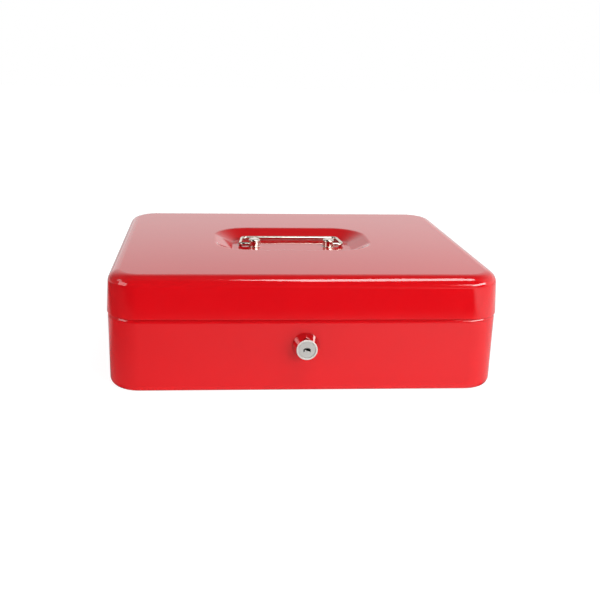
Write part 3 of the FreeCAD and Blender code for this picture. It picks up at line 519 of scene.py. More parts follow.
def start_material(name):
    """An empty material with its object coordinates and its shader."""
    material = bpy.data.materials.new(name)
    material.use_nodes = True
    tree = material.node_tree
    tree.nodes.clear()
    place = add_node(tree, "ShaderNodeTexCoord").outputs["Object"]
    shader = add_node(tree, "ShaderNodeBsdfPrincipled")
    add_node(tree, "ShaderNodeOutputMaterial", inputs={"Surface": shader.outputs["BSDF"]})
    return material, tree, place, shader


def per_metre(millimetres):
    """Texture scale that repeats a pattern every so many millimetres."""
    return 1 / (millimetres * MM)


def enamel_finish():
    """Stoved gloss enamel on steel: deep red, glossy, with the faint ripple that spraying leaves."""
    material, tree, place, shader = start_material("stoved_gloss_enamel_red")
    finishes = bpy.context.scene.cash_box_finishes
    darkest, glossiest, dullest = 0.93, 0.85, 1.2
    red = (*finishes.enamel, 1)
    deep = (*(part * darkest for part in finishes.enamel), 1)

    # The coat's thickness drifts over a hand's width, and its ripple is 3 mm from crest to crest
    cloud = add_node(tree, "ShaderNodeTexNoise", inputs={
        "Vector": place, "Scale": per_metre(70), "Detail": 2.0}).outputs["Fac"]
    peel = add_node(tree, "ShaderNodeTexNoise", inputs={
        "Vector": place, "Scale": per_metre(3.0), "Detail": 1.0}).outputs["Fac"]
    tone = add_node(tree, "ShaderNodeMix", {"data_type": "RGBA"}, {0: cloud, 6: deep, 7: red})
    wave = add_node(tree, "ShaderNodeBump", inputs={"Height": peel, "Strength": 0.06, "Distance": 0.1 * MM})
    gloss = add_node(tree, "ShaderNodeMapRange", inputs={
        "Value": cloud, "To Min": finishes.enamel_roughness * glossiest,
        "To Max": finishes.enamel_roughness * dullest})
    tree.links.new(tone.outputs[2], shader.inputs["Base Color"])
    tree.links.new(gloss.outputs["Result"], shader.inputs["Roughness"])
    tree.links.new(wave.outputs["Normal"], shader.inputs["Normal"])
    shader.inputs["IOR"].default_value = 1.6
    return material


# Metals: name, light and dark tone, least and most roughness, grain in millimetres, strength of its relief.
# The grain of real plating is too fine to show, so it is drawn 0.6 to 2.5 mm wide.
METALS = {
    # Chrome on the turned bezel is close to a mirror and softly uneven
    "chrome_plate": ("bright_chrome_plate", "#E2E0DE", "#D8D6D4", (0.05, 0.10), 1.2, 0.02),
    # Nickel on the wire and its posts is a mirror with a warm cast
    "nickel_wire": ("bright_nickel_plate", "#DDD6CA", "#D2CABD", (0.08, 0.14), 0.9, 0.03),
    # The plug's satin face is pale, with one broad sheen
    "satin_nickel": ("satin_nickel_plate", "#F8F6F3", "#E8E6E2", (0.66, 0.76), 0.9, 0.8),
    # Painted highlight: the raised ring gets a whiter, near-matte copy of the plug's nickel, so it reads
    # bright all round
    "ring_highlight_nickel": ("key_rubbed_nickel_plate", "#FFFCFA", "#F4F1EE", (0.90, 1.0), 0.9, 0.2),
    # Painted shade: a near-black metal on the key slot's walls stands for the shadow inside it, so the slot
    # looks deep
    "keyway_painted_shade": ("graphite_on_broached_metal", "#2B2A29", "#191817", (0.5, 0.65), 0.6, 0.1),
    # Zinc is a bluish grey with blurred highlights
    "zinc_plate": ("bright_zinc_plate", "#C9CDD2", "#AEB4BC", (0.28, 0.42), 2.5, 0.08),
    # Stamped brass is yellow and slightly dull
    "brass_sheet": ("stamped_brass", "#D9B76A", "#C7A357", (0.25, 0.38), 1.5, 0.08),
}


def metal_finish(name, light, dark, rough, grain, ripple):
    """A metal in two close tones, with its polish and its relief varied by the same grain."""
    material, tree, place, shader = start_material(name)
    noise = add_node(tree, "ShaderNodeTexNoise", inputs={
        "Vector": place, "Scale": per_metre(grain), "Detail": 3.0}).outputs["Fac"]
    tone = add_node(tree, "ShaderNodeMix", {"data_type": "RGBA"}, {
        0: noise, 6: (*linear(dark), 1), 7: (*linear(light), 1)})
    polish = add_node(tree, "ShaderNodeMapRange", inputs={
        "Value": noise, "To Min": rough[0], "To Max": rough[1]})
    relief = add_node(tree, "ShaderNodeBump", inputs={
        "Height": noise, "Strength": ripple, "Distance": 0.05 * MM})
    tree.links.new(tone.outputs[2], shader.inputs["Base Color"])
    tree.links.new(polish.outputs["Result"], shader.inputs["Roughness"])
    tree.links.new(relief.outputs["Normal"], shader.inputs["Normal"])
    shader.inputs["Metallic"].default_value = 1.0
    return material


def plastic_finish():
    """Moulded black ABS: a dark satin skin with the fine spark-eroded grain of its mould."""
    material, tree, place, shader = start_material("moulded_abs_black")

    # The real grain is about a tenth of a millimetre, too fine to show, so it is drawn at 0.7 mm
    grain = add_node(tree, "ShaderNodeTexVoronoi", inputs={
        "Vector": place, "Scale": per_metre(0.7)}).outputs["Distance"]
    tone = add_node(tree, "ShaderNodeMix", {"data_type": "RGBA"}, {
        0: grain, 6: (*linear("#141415"), 1), 7: (*linear("#242426"), 1)})
    relief = add_node(tree, "ShaderNodeBump", inputs={
        "Height": grain, "Strength": 0.25, "Distance": 0.04 * MM})
    tree.links.new(tone.outputs[2], shader.inputs["Base Color"])
    tree.links.new(relief.outputs["Normal"], shader.inputs["Normal"])
    shader.inputs["Roughness"].default_value = 0.46
    shader.inputs["IOR"].default_value = 1.53
    return material


MADE_FINISHES = {}


def finish_for(slot):
    """The material of a slot or finish, made once."""
    if slot not in MADE_FINISHES:
        if slot == "red_enamel":
            MADE_FINISHES[slot] = enamel_finish()
        elif slot == "black_abs":
            MADE_FINISHES[slot] = plastic_finish()
        else:
            MADE_FINISHES[slot] = metal_finish(*METALS[slot])
    return MADE_FINISHES[slot]


def lock_frame():
    """The lock's own axes: X across, Y up the wall, Z straight out of it."""
    outward = -Vector(LOCK_TURN["axis"]).normalized()
    if outward.y > 0:
        outward = -outward
    across = Vector((1, 0, 0))
    up = outward.cross(across)
    turn = Matrix((across, up, outward)).transposed().to_4x4()
    return Matrix.Translation(LOCK_TURN["pos_m"]) @ turn


# Pieces
class CASHBOX_OT_tub(bpy.types.Operator):
    """Model the drawn steel tub with its shoulder and rim"""
    bl_idname = "cash_box.tub"
    bl_label = "Tub"

    def execute(self, context):
        size = context.scene.cash_box_shell
        lock = context.scene.cash_box_lock
        foot = HALF_X - size.base_tuck
        base = foot - size.base_radius
        belt = HALF_X - size.belt_tuck
        rim = HALF_X - size.rim_tuck
        inner_lean = (size.belt_tuck - size.base_tuck) / size.belt_level * size.sheet
        section = rounded([
            (base, 0, 0),
            (foot, 0, size.base_radius),
            (belt, size.belt_level + size.shoulder_rise, size.shoulder_bend),
            (rim, size.shoulder_level, size.rim_bend),
            (rim, TUB_HIGH.z, size.sheet_edge),
            (rim - size.sheet, TUB_HIGH.z, size.sheet_edge),
            (rim - size.sheet, size.shoulder_level, size.inner_rim_bend),
            (belt - size.sheet, size.belt_level, size.inner_belt_bend),
            (foot - size.sheet - inner_lean, size.sheet, size.base_radius - size.sheet),
            (base, size.sheet, 0),
        ], size.bend_steps)
        piece = start_piece("tub")
        sweep_round(section, (-HALF_X, -HALF_Y), (HALF_X, HALF_Y), [size.corner] * 4, size.corner_steps)
        merge_and_face_out()
        cap_at(piece, 0, size.sheet)
        merge_and_face_out()

        # The back wall is cut back for the hinge, and the front wall has a hole with two flats for the lock
        combine(piece, block(
            (-HALF_X, HINGE_Y, HINGE_Z - size.hinge_gap), (HALF_X, HALF_Y + OVERSHOOT, LID_HIGH.z)))
        radius = lock.barrel / 2 + lock.hole_play
        flat = lock.barrel_flats / 2 + lock.hole_play
        hole = rod("lock_hole", radius, -radius, radius, ROUND_FACES)
        place_piece(hole, lock_frame())
        flats = block((-LOCK_OVERSHOOT, -LOCK_OVERSHOOT, -flat), (LOCK_OVERSHOOT, LOCK_OVERSHOOT, flat))
        place_piece(flats, Matrix.Translation(LOCK_TURN["pos_m"]))
        combine(hole, flats, "INTERSECT")
        combine(piece, hole)
        finish_piece(piece, "box", "red_enamel", "body_shell")
        return {"FINISHED"}


class CASHBOX_OT_lid(bpy.types.Operator):
    """Model the drawn steel lid with its dished handle recess"""
    bl_idname = "cash_box.lid"
    bl_label = "Lid"

    def execute(self, context):
        size = context.scene.cash_box_shell
        top = LID_HIGH.z
        under = top - size.sheet
        edge = LID_LOW.z - size.lid_drop
        shoulder = HALF_X - size.lid_lean
        deck = shoulder - size.lid_radius
        lean = size.lid_lean / (top - LID_LOW.z) * size.sheet
        wall = rounded([
            (deck, under, 0),
            (shoulder - size.sheet + lean, under, size.lid_radius - size.sheet),
            (HALF_X - size.sheet, edge, size.inner_lid_edge),
            (HALF_X, edge, size.lid_edge),
            (shoulder, top, size.lid_radius),
            (deck, top, 0),
        ], size.bend_steps)
        piece = start_piece("lid")
        sweep_round(wall, (-HALF_X, -HALF_Y), (HALF_X, HALF_Y), [size.corner] * 4, size.corner_steps)

        # The dish is drawn as an upper and an under skin
        floor = POST_LOW.z
        foot = size.recess_length / 2
        mouth = foot + size.recess_run
        rim = mouth + size.recess_lip
        flat = foot - size.recess_foot
        fold = size.sheet * math.tan(math.atan((top - floor) / size.recess_run) / 2)
        skins = [
            [(rim, top, 0), (mouth, top, size.recess_lip), (foot, floor, size.recess_foot), (flat, floor, 0)],
            [(rim, under, 0), (mouth + fold, under, size.recess_lip - size.sheet),
             (foot + fold, floor - size.sheet, size.recess_foot + size.sheet), (flat, floor - size.sheet, 0)],
        ]
        reach = size.recess_width / 2 + size.recess_run
        for skin in skins:
            sweep_round(rounded(skin, size.bend_steps), (-mouth, POST_Y - reach), (mouth, POST_Y + reach),
                        [size.recess_corner + size.recess_run] * 4, size.corner_steps)
        merge_and_face_out()
        fill_at(piece, top, under)
        cap_at(piece, floor, floor - size.sheet)
        merge_and_face_out()
        combine(piece, block((-HALF_X, HINGE_Y, 0), (HALF_X, HALF_Y + OVERSHOOT, HINGE_Z + size.hinge_gap)))
        finish_piece(piece, "lid", "red_enamel", "lid_shell")
        return {"FINISHED"}


class CASHBOX_OT_posts(bpy.types.Operator):
    """Turn one handle post, drill it for the wire and copy it"""
    bl_idname = "cash_box.posts"
    bl_label = "Handle posts"

    def execute(self, context):
        size = context.scene.cash_box_handle
        foot = POST_LOW.z
        top = POST_HIGH.z
        flange = (POST_HIGH.x - POST_LOW.x) / 2
        body = size.post_body / 2
        head = size.post_head / 2
        section = rounded([
            (0, foot, 0),
            (flange, foot, FAINT_EDGE),
            (flange, foot + size.post_flange, PLAIN_EDGE),
            (body, foot + size.post_flange, FULL_EDGE),
            (body, top - size.post_head_height, THIN_EDGE),
            (head, top - size.post_head_height, SOFT_EDGE),
            (head, top, size.post_dome),
            (0, top, 0),
        ], EDGE_FACES)
        right = turned("right_post", section, ROUND_FACES)
        bore = rod("bore", size.post_bore / 2, 0, 2 * body, BORE_FACES)
        bore_end = Matrix.Translation((body - size.post_bore_depth, 0, BAIL_PIVOT.z))
        place_piece(bore, bore_end @ Matrix.Rotation(math.pi / 2, 4, "Y"))
        combine(right, bore)
        left = copy_of(right, "left_post")
        place_piece(right, Matrix.Translation((POST_X, POST_Y, 0)))
        place_piece(left, Matrix.Translation((-POST_X, POST_Y, 0)) @ Matrix.Rotation(math.pi, 4, "Z"))
        finish_piece(right, "lid", "chrome_plate", "handle_post_right", finish="nickel_wire")
        finish_piece(left, "lid", "chrome_plate", "handle_post_left", finish="nickel_wire")
        return {"FINISHED"}


class CASHBOX_OT_handle(bpy.types.Operator):
    """Bend the plated wire handle"""
    bl_idname = "cash_box.handle"
    bl_label = "Wire handle"

    def execute(self, context):
        size = context.scene.cash_box_handle
        wire = size.wire / 2
        bar_back = BAIL_HIGH.y - wire - BAIL_PIVOT.y
        bar_up = BAIL_HIGH.z - wire - BAIL_PIVOT.z
        reach = math.hypot(bar_back, bar_up)
        leg = BAIL_HIGH.x - wire
        corners = [
            ((-size.wire_end, 0), 0),
            ((-leg, 0), size.leg_bend),
            ((size.leg_splay - leg, reach), size.bar_bend),
            ((leg - size.leg_splay, reach), size.bar_bend),
            ((leg, 0), size.leg_bend),
            ((size.wire_end, 0), 0),
        ]
        piece = start_piece("wire_handle")
        turns = [math.tau * step / WIRE_FACES for step in range(WIRE_FACES + 1)]
        circle = [(-size.wire_end, wire * math.cos(turn), wire * math.sin(turn)) for turn in turns]
        start_line(circle[0])
        draw_on(circle)
        bpy.ops.mesh.remove_doubles(threshold=TOUCHING)

        # Each straight run is extruded to the next bend, and each bend is spun about its own middle
        here = Vector(corners[0][0])
        for (before, _), (corner, radius), (after, _) in zip(corners, corners[1:], corners[2:]):
            corner = Vector(corner)
            inward = (corner - Vector(before)).normalized()
            outward = (Vector(after) - corner).normalized()
            turn = inward.angle(outward)
            bend_start = corner - inward * radius * math.tan(turn / 2)
            centre = bend_start + Vector((inward.y, -inward.x)) * radius
            extrude_by((*(bend_start - here), 0))
            bpy.ops.mesh.spin(steps=WIRE_BEND_FACES, angle=turn, center=(*centre, 0), axis=(0, 0, 1))
            here = corner + outward * radius * math.tan(turn / 2)
        extrude_by((*(Vector(corners[-1][0]) - here), 0))
        merge_and_face_out()
        for side in (-1, 1):
            select_edges(piece, lambda edge: edge.is_boundary and edge.verts[0].co.x * side > 0)
            bpy.ops.mesh.edge_face_add()
            bpy.ops.mesh.bevel(offset=SMALL_EDGE, segments=WIRE_END_FACES, affect="EDGES")
        merge_and_face_out()
        lean = Matrix.Rotation(math.atan2(bar_up, bar_back), 4, "X")
        place_piece(piece, Matrix.Translation(BAIL_PIVOT) @ lean)
        finish_piece(piece, "handle", "chrome_plate", "handle_bail", finish="nickel_wire")
        return {"FINISHED"}


class CASHBOX_OT_lock(bpy.types.Operator):
    """Turn the lock's bezel and barrel, the plug with its key slot, and the nut behind the wall"""
    bl_idname = "cash_box.lock"
    bl_label = "Lock"

    def execute(self, context):
        size = context.scene.cash_box_lock
        self.bezel(size)
        self.plug(size, context.scene.cash_box_screws)
        self.nut(size)
        return {"FINISHED"}

    def bezel(self, size):
        """The bezel with its raised ring, and the barrel with two flats behind the wall."""
        seat = size.nose_reach - size.mouth_depth
        section = rounded([
            (size.bore / 2, -size.barrel_length, 0),
            (size.barrel / 2, -size.barrel_length, PLAIN_EDGE),
            (size.barrel / 2, 0, 0),
            (size.flange / 2, 0, BURR),
            (size.flange / 2, size.flange_edge, SOFT_EDGE),
            (size.nose / 2, size.nose_reach, size.nose_edge),
            (size.mouth / 2, size.nose_reach, size.mouth_edge),
            (size.mouth / 2, seat, 0),
            (size.bore / 2, seat, BURR),
            (size.bore / 2, -size.barrel_length, 0),
        ], EDGE_FACES)
        bezel = turned("lock_bezel", section, LOCK_FACES)
        flat = size.barrel_flats / 2
        for low, high in ((-LOCK_OVERSHOOT, -flat), (flat, LOCK_OVERSHOOT)):
            combine(bezel, block((-LOCK_OVERSHOOT, low, -LOCK_OVERSHOOT), (LOCK_OVERSHOOT, high, 0)))
        place_piece(bezel, lock_frame())
        finish_piece(bezel, "box", "chrome_plate", "lock_housing")

        # Painted highlight: the raised ring gets a whiter, duller nickel so it reads bright all round
        to_lock = lock_frame().inverted()
        ring = size.nose_reach - size.nose_edge
        finish_faces(bezel, "ring_highlight_nickel", lambda face: (to_lock @ face.center).z > ring)

    def plug(self, size, screws):
        """The plug, with its key slot, the wafers' slots, the screw's hole and the cam's square tail."""
        head = size.nose_reach - size.mouth_depth + size.plug_play
        plug = turned("lock_plug_turned", rounded([
            (0, -size.plug_rear, 0),
            (size.plug / 2, -size.plug_rear, SMALL_EDGE),
            (size.plug / 2, head, 0),
            (size.plug_head / 2, head, BURR),
            (size.plug_head / 2, size.plug_face, size.plug_edge),
            (0, size.plug_face, 0),
        ], EDGE_FACES), LOCK_FACES)
        tail = size.tail / 2
        tail_end = -size.plug_rear - size.tail_length
        combine(plug, block((-tail, -tail, tail_end), (tail, tail, -size.plug_rear + PAST_FACE)), "UNION")
        across = size.wafer_slot_width / 2
        for number in range(size.wafer_count):
            top = size.wafer_top - number * size.wafer_pitch
            combine(plug, block((-size.plug, -across, top - size.wafer_slot), (size.plug, across, top)))
        bore_end = screws.cam_reach - screws.cam_seat + screws.cam_play
        combine(plug, rod("screw_bore", screws.cam_shank / 2, -screws.cam_seat, bore_end, BORE_FACES))
        combine(plug, self.key_slot(size))

        # A small round ward with a domed end stands beside the key slot
        dome = 0.45 * size.ward
        ward = turned("ward", rounded([
            (0, -size.ward_depth, 0),
            (size.ward / 2, -size.ward_depth, 0),
            (size.ward / 2, 0, dome),
            (0, 0, 0),
        ], EDGE_FACES), WARD_FACES)
        ward_top = size.plug_face + size.ward_rise
        place_piece(ward, Matrix.Translation((size.ward_across, size.ward_up, ward_top)))
        combine(plug, ward, "UNION")
        place_piece(plug, lock_frame())
        finish_piece(plug, "lock_core", "satin_nickel", "lock_plug")

        # Painted shade: the key slot's walls, the faces near the axis that run along it, get a near-black
        # metal that stands for the shadow inside the slot
        to_lock = lock_frame().inverted()
        outward = lock_frame().col[2].xyz
        near = 0.55 * size.keyway_length
        slanted = 0.2
        finish_faces(plug, "keyway_painted_shade", lambda face: (to_lock @ face.center).xy.length < near
                     and abs(face.normal.dot(outward)) < slanted)

    def key_slot(self, size):
        """A bar of the key slot's arched shape, to cut the plug with."""
        half = size.keyway_length / 2
        shares = [step / KEYWAY_FACES for step in range(-KEYWAY_FACES, KEYWAY_FACES + 1)]
        line = [(half * share, size.keyway_arch * (0.5 - share ** 2)) for share in shares]
        over = [(across, up + size.keyway_width / 2) for across, up in line]
        under = [(across, up - size.keyway_width / 2) for across, up in reversed(line)]
        ring = [(across, up, size.plug_face - size.keyway_depth) for across, up in over + under + over[:1]]
        slot = start_piece("key_slot")
        start_line(ring[0])
        draw_on(ring)
        bpy.ops.mesh.remove_doubles(threshold=TOUCHING)
        bpy.ops.mesh.edge_face_add()
        extrude_by((0, 0, size.keyway_depth + PAST_FACE))
        merge_and_face_out()
        return slot

    def nut(self, size):
        """The nut behind the wall: a chamfered ring trimmed to six sides."""
        far = -size.nut_near - size.nut_height
        corner = size.nut_flats / 2 / math.cos(math.pi / 6)

        # The chamfer takes a little under half of what the corners stand out past the flats
        bevel = 0.45 * (corner - size.nut_flats / 2)
        land = size.nut_flats / 2 - THIN_EDGE
        past_corner = corner + 0.01 * MM
        nut = turned("lock_nut_chamfered", [
            (size.nut_bore / 2, far),
            (land, far),
            (past_corner, far + bevel),
            (past_corner, -size.nut_near - bevel),
            (land, -size.nut_near),
            (size.nut_bore / 2, -size.nut_near),
            (size.nut_bore / 2, far),
        ], LOCK_FACES)
        object_mode()
        bpy.ops.mesh.primitive_cylinder_add(
            vertices=6, radius=corner, depth=LOCK_OVERSHOOT, rotation=(0, 0, math.pi / 6))
        combine(nut, bpy.context.object, "INTERSECT")
        place_piece(nut, lock_frame())
        finish_piece(nut, "box", "zinc_plate", "lock_nut")


def pan_screw(name, shank, reach, head, rise, size):
    """A pan-head screw standing on its head, with a cross recess."""
    screw = turned(name, rounded([
        (0, -rise, 0),
        (head / 2, -rise, size.dome),
        (head / 2, 0, BURR),
        (shank / 2, 0, FAINT_EDGE),
        (shank / 2, reach, PLAIN_EDGE),
        (0, reach, 0),
    ], EDGE_FACES), SCREW_FACES)
    long = size.cross / 2
    thin = size.cross_slot / 2
    for across, along in ((long, thin), (thin, long)):
        combine(screw, block((-across, -along, -rise - PAST_FACE), (across, along, size.cross_depth - rise)))
    return screw


class CASHBOX_OT_screws(bpy.types.Operator):
    """Turn the screws under the handle posts and the one that holds the lock's cam"""
    bl_idname = "cash_box.screws"
    bl_label = "Screws"

    def execute(self, context):
        size = context.scene.cash_box_screws
        seat = SCREW_HIGH.z - size.post_reach
        right = pan_screw(
            "right_post_screw", size.post_shank, size.post_reach, size.post_head, size.post_rise, size)
        left = copy_of(right, "left_post_screw")

        # Each screw stopped at its own turn, in radians
        right_turn, left_turn, cam_turn = 0.5, 1.2, 0.3
        for screw, across, turn in ((right, POST_X, right_turn), (left, -POST_X, left_turn)):
            place_piece(screw, Matrix.Translation((across, POST_Y, seat)) @ Matrix.Rotation(turn, 4, "Z"))
            finish_piece(screw, "lid", "zinc_plate", "post_screws")
        cam = pan_screw("hook_screw", size.cam_shank, size.cam_reach, size.cam_head, size.cam_rise, size)
        cam_seat = lock_frame() @ Matrix.Translation((0, 0, -size.cam_seat))
        place_piece(cam, cam_seat @ Matrix.Rotation(cam_turn, 4, "Z"))
        finish_piece(cam, "lock_core", "zinc_plate", "cam_screw")
        return {"FINISHED"}


class CASHBOX_OT_tray(bpy.types.Operator):
    """Mould the lift-out tray with its coin cups"""
    bl_idname = "cash_box.tray"
    bl_label = "Coin tray"

    def execute(self, context):
        size = context.scene.cash_box_tray
        shell = context.scene.cash_box_shell
        top = TRAY_HIGH.z
        base = TRAY_LOW.z
        edge = TRAY_HIGH.x
        side = edge - size.flange

        # A short flat runs on past each rounding, for the fill to join
        base_flat = 1 * MM
        rim_flat = 0.2 * MM
        cup_rim_flat = 0.02 * MM
        cup_floor_flat = 0.5 * MM
        piece = start_piece("cup_tray")
        outside = rounded([
            (side - size.base_radius - base_flat, base, 0),
            (side, base, size.base_radius),
            (side, top - size.flange_thickness, size.flange_fillet),
            (edge, top - size.flange_thickness, PLAIN_EDGE),
            (edge, top, size.rim),
            (edge - size.rim - rim_flat, top, 0),
        ], shell.bend_steps)
        sweep_round(outside, TRAY_LOW.xy, TRAY_HIGH.xy, [size.corner] * 4, TRAY_CORNER_FACES)

        # Cups: two side cups and a middle one in front, coin cups behind
        inset = size.flange + size.wall
        outer = size.corner - inset
        inner = size.cup_corner
        left, right = TRAY_LOW.x + inset, TRAY_HIGH.x - inset
        front, back = TRAY_LOW.y + inset, TRAY_HIGH.y - inset
        notch_back = TRAY_LOW.y + size.notch
        half_wall = size.wall / 2
        middle = size.middle / 2
        cups = [
            ((left, front), (-middle - size.wall, size.split - half_wall), (inner, inner, outer, inner)),
            ((-middle, notch_back + size.wall), (middle, size.split - half_wall), (inner,) * 4),
            ((middle + size.wall, front), (right, size.split - half_wall), (inner, inner, inner, outer)),
        ]
        wide = (right - left + size.wall) / size.coin_cups
        for cup in range(size.coin_cups):
            back_right = outer if cup == size.coin_cups - 1 else inner
            back_left = outer if cup == 0 else inner
            start = left + cup * wide
            cups.append(((start, size.split + half_wall), (start + wide - size.wall, back),
                         (back_right, back_left, inner, inner)))
        floor = base + size.wall
        for low, high, corners in cups:
            inside = rounded([
                (high[0] + size.rim + cup_rim_flat, top, 0),
                (high[0], top, size.rim),
                (high[0], floor, size.cup_foot),
                (high[0] - size.cup_foot - cup_floor_flat, floor, 0),
            ], shell.bend_steps)
            sweep_round(inside, low, high, corners, CUP_CORNER_FACES)
        merge_and_face_out()
        fill_at(piece, top, floor, base)
        merge_and_face_out()

        # Notch round the lock, with rounded inner corners
        notch = block(
            (-middle, TRAY_LOW.y - OVERSHOOT, base - PAST_FACE), (middle, notch_back, top + PAST_FACE))
        make_active(notch)
        bpy.ops.object.transform_apply(location=True, rotation=True, scale=True)
        bpy.ops.object.mode_set(mode="EDIT")
        select_edges(notch, lambda edge: abs(edge.verts[0].co.x - edge.verts[1].co.x) < TOUCHING
                     and all(abs(vertex.co.y - notch_back) < TOUCHING for vertex in edge.verts))
        bpy.ops.mesh.bevel(offset=inner, segments=NOTCH_FACES, affect="EDGES")
        combine(piece, notch)
        finish_piece(piece, "tray", "black_abs", "coin_tray")
        return {"FINISHED"}


class CASHBOX_OT_plain_nodes(bpy.types.Operator):
    """Give the pieces whose CAD shape is kept their finishes"""
    bl_idname = "cash_box.plain_nodes"
    bl_label = "Kept pieces"

    def execute(self, context):
        for node in frame["nodes"].values():
            slot = node.data.materials[0].name
            node.data.materials.clear()
            node.data.materials.append(finish_for(slot))
        return {"FINISHED"}


# Light that mirroring surfaces see on the table and on the backdrop: each zone has its axis, where it starts
# and ends, in metres or as a part of the direction, and its level at its start and at its end
TABLE_ZONES = {
    "before": ("Y", -0.38, -0.27, 0.0, 0.74),
    "towards_right": ("X", -0.40, 0.30, 0.10, 1.0),
    "right": ("X", 0.24, 0.33, 0.0, 1.0),
    "short_of_far_right": ("X", 0.34, 0.55, 1.0, 0.72),
    "behind": ("Y", 0.12, 0.30, 0.0, 0.9),
    "close_left": ("X", -0.36, -0.28, 0.0, 0.8),
    "beside": ("Y", -0.10, 0.0, 0.0, 1.0),
}
BACKDROP_ZONES = {
    "low": ("Z", 0.40, 0.92, 1.0, 0.1),
    "horizon": ("Z", 0.21, 0.30, 1.0, 0.80),
    "behind": ("Y", -0.55, -0.1, 0.0, 1.0),
    "towards_right": ("X", -0.85, -0.35, 0.2, 1.0),
}

# Each step joins two zones, or steps before it, into one level
TABLE_STEPS = {
    "bright": ("MAXIMUM", "before", "right"),
    "right_or_behind": ("MAXIMUM", "towards_right", "behind"),
    "left": ("MULTIPLY", "beside", "close_left"),
    "all_round": ("MAXIMUM", "right_or_behind", "left"),
    "spread": ("MULTIPLY", "all_round", "short_of_far_right"),
    "clear": ("MAXIMUM", "past_X", "past_Y"),
    "glow": ("MULTIPLY", "before", "clear"),
    "clear_spread": ("MULTIPLY", "spread", "clear"),
    "mirrored": ("MULTIPLY", "bright", "clear_spread"),
}
BACKDROP_STEPS = {
    "paper": ("MULTIPLY", "low", "behind"),
    "right_paper": ("MULTIPLY", "paper", "towards_right"),
    "mirrored": ("MULTIPLY", "right_paper", "horizon"),
}

# The floor's side, how far it lies under the box, and how far in from the lid's edge its light ends
FLOOR_SIDE = 8
FLOOR_DROP = 0.2 * MM
UNDER_BOX = 10 * MM

# Softboxes: place and size in metres, and the setting that holds the power
SOFTBOXES = {
    "front_right_softbox": ((0.84, -0.82, 0.46), (1.00, 0.25), "right"),
    "front_left_softbox": ((-1.05, -0.55, 0.42), (0.60, 0.50), "left"),
    "top_strip": ((0.29, -0.42, 1.10), (0.58, 0.36), "top"),
    "back_softbox": ((0.10, 1.25, 0.30), (1.20, 0.50), "back"),
    "left_crest_softbox": ((-0.95, -0.12, 0.60), (0.25, 0.25), "crest"),
}
SOFTBOX_TARGET = Vector((0, 0, 0.05))
WHITE = (*linear("#FFFFFF"), 1)


def light_levels(tree, place, zones, steps, levels):
    """Add to the levels a smooth ramp for each zone of the place, and then each step."""
    split = add_node(tree, "ShaderNodeSeparateXYZ", inputs={"Vector": place}).outputs
    for name, (axis, start, end, first, last) in zones.items():
        levels[name] = add_node(tree, "ShaderNodeMapRange", {"interpolation_type": "SMOOTHSTEP"}, {
            "Value": split[axis], "From Min": start, "From Max": end,
            "To Min": first, "To Max": last}).outputs["Result"]
    for name, (operation, one, other) in steps.items():
        levels[name] = add_node(tree, "ShaderNodeMath", {"operation": operation}, {
            0: levels[one], 1: levels[other]}).outputs[0]
    return levels


def paper_floor(studio):
    """White paper on a lit table: plain white to the camera, with its own levels in mirroring surfaces."""
    object_mode()
    bpy.ops.mesh.primitive_plane_add(size=FLOOR_SIDE, location=(0, 0, -FLOOR_DROP))
    floor = bpy.context.object
    floor.name = "floor"
    material = bpy.data.materials.new("white_paper_floor")
    material.use_nodes = True
    tree = material.node_tree
    tree.nodes.clear()
    path = add_node(tree, "ShaderNodeLightPath").outputs
    place = add_node(tree, "ShaderNodeTexCoord").outputs["Object"]

    # No light comes from under the box
    levels = {}
    either_side = add_node(tree, "ShaderNodeVectorMath", {"operation": "ABSOLUTE"}, {0: place}).outputs[0]
    distance = add_node(tree, "ShaderNodeSeparateXYZ", inputs={"Vector": either_side}).outputs
    for axis, half in (("X", HALF_X), ("Y", HALF_Y)):
        levels["past_" + axis] = add_node(tree, "ShaderNodeMapRange", inputs={
            "Value": distance[axis], "From Min": half - UNDER_BOX, "From Max": half}).outputs["Result"]
    light_levels(tree, place, TABLE_ZONES, TABLE_STEPS, levels)

    # What mirroring surfaces see
    mirrored = add_node(tree, "ShaderNodeEmission", inputs={"Color": WHITE, "Strength": levels["mirrored"]})

    # What lights the box from below
    paper = add_node(tree, "ShaderNodeBsdfDiffuse", inputs={"Color": (*linear("#EFEFEF"), 1)})
    glow = add_node(tree, "ShaderNodeMath", {"operation": "MULTIPLY"}, {0: levels["glow"], 1: studio.table})
    lamp = add_node(tree, "ShaderNodeEmission", inputs={"Color": WHITE, "Strength": glow.outputs[0]})
    table = add_node(tree, "ShaderNodeAddShader", inputs={0: paper.outputs[0], 1: lamp.outputs[0]})

    # What the camera sees: white, with a trace of shadow near the box
    away = add_node(tree, "ShaderNodeVectorMath", {"operation": "LENGTH"}, {0: place})
    paleness = add_node(tree, "ShaderNodeMapRange", inputs={
        "Value": away.outputs["Value"], "From Min": 0.25, "From Max": 0.8, "To Min": 0.92, "To Max": 1.0})
    white = add_node(tree, "ShaderNodeEmission", inputs={
        "Color": WHITE, "Strength": paleness.outputs["Result"]})
    shadowed = add_node(tree, "ShaderNodeBsdfDiffuse", inputs={"Color": (*linear("#959595"), 1)})
    seen = add_node(tree, "ShaderNodeAddShader", inputs={0: white.outputs[0], 1: shadowed.outputs[0]})
    unseen = add_node(tree, "ShaderNodeMixShader", inputs={
        0: path["Is Glossy Ray"], 1: table.outputs[0], 2: mirrored.outputs[0]})
    final = add_node(tree, "ShaderNodeMixShader", inputs={
        0: path["Is Camera Ray"], 1: unseen.outputs[0], 2: seen.outputs[0]})
    add_node(tree, "ShaderNodeOutputMaterial", inputs={"Surface": final.outputs[0]})
    floor.data.materials.append(material)


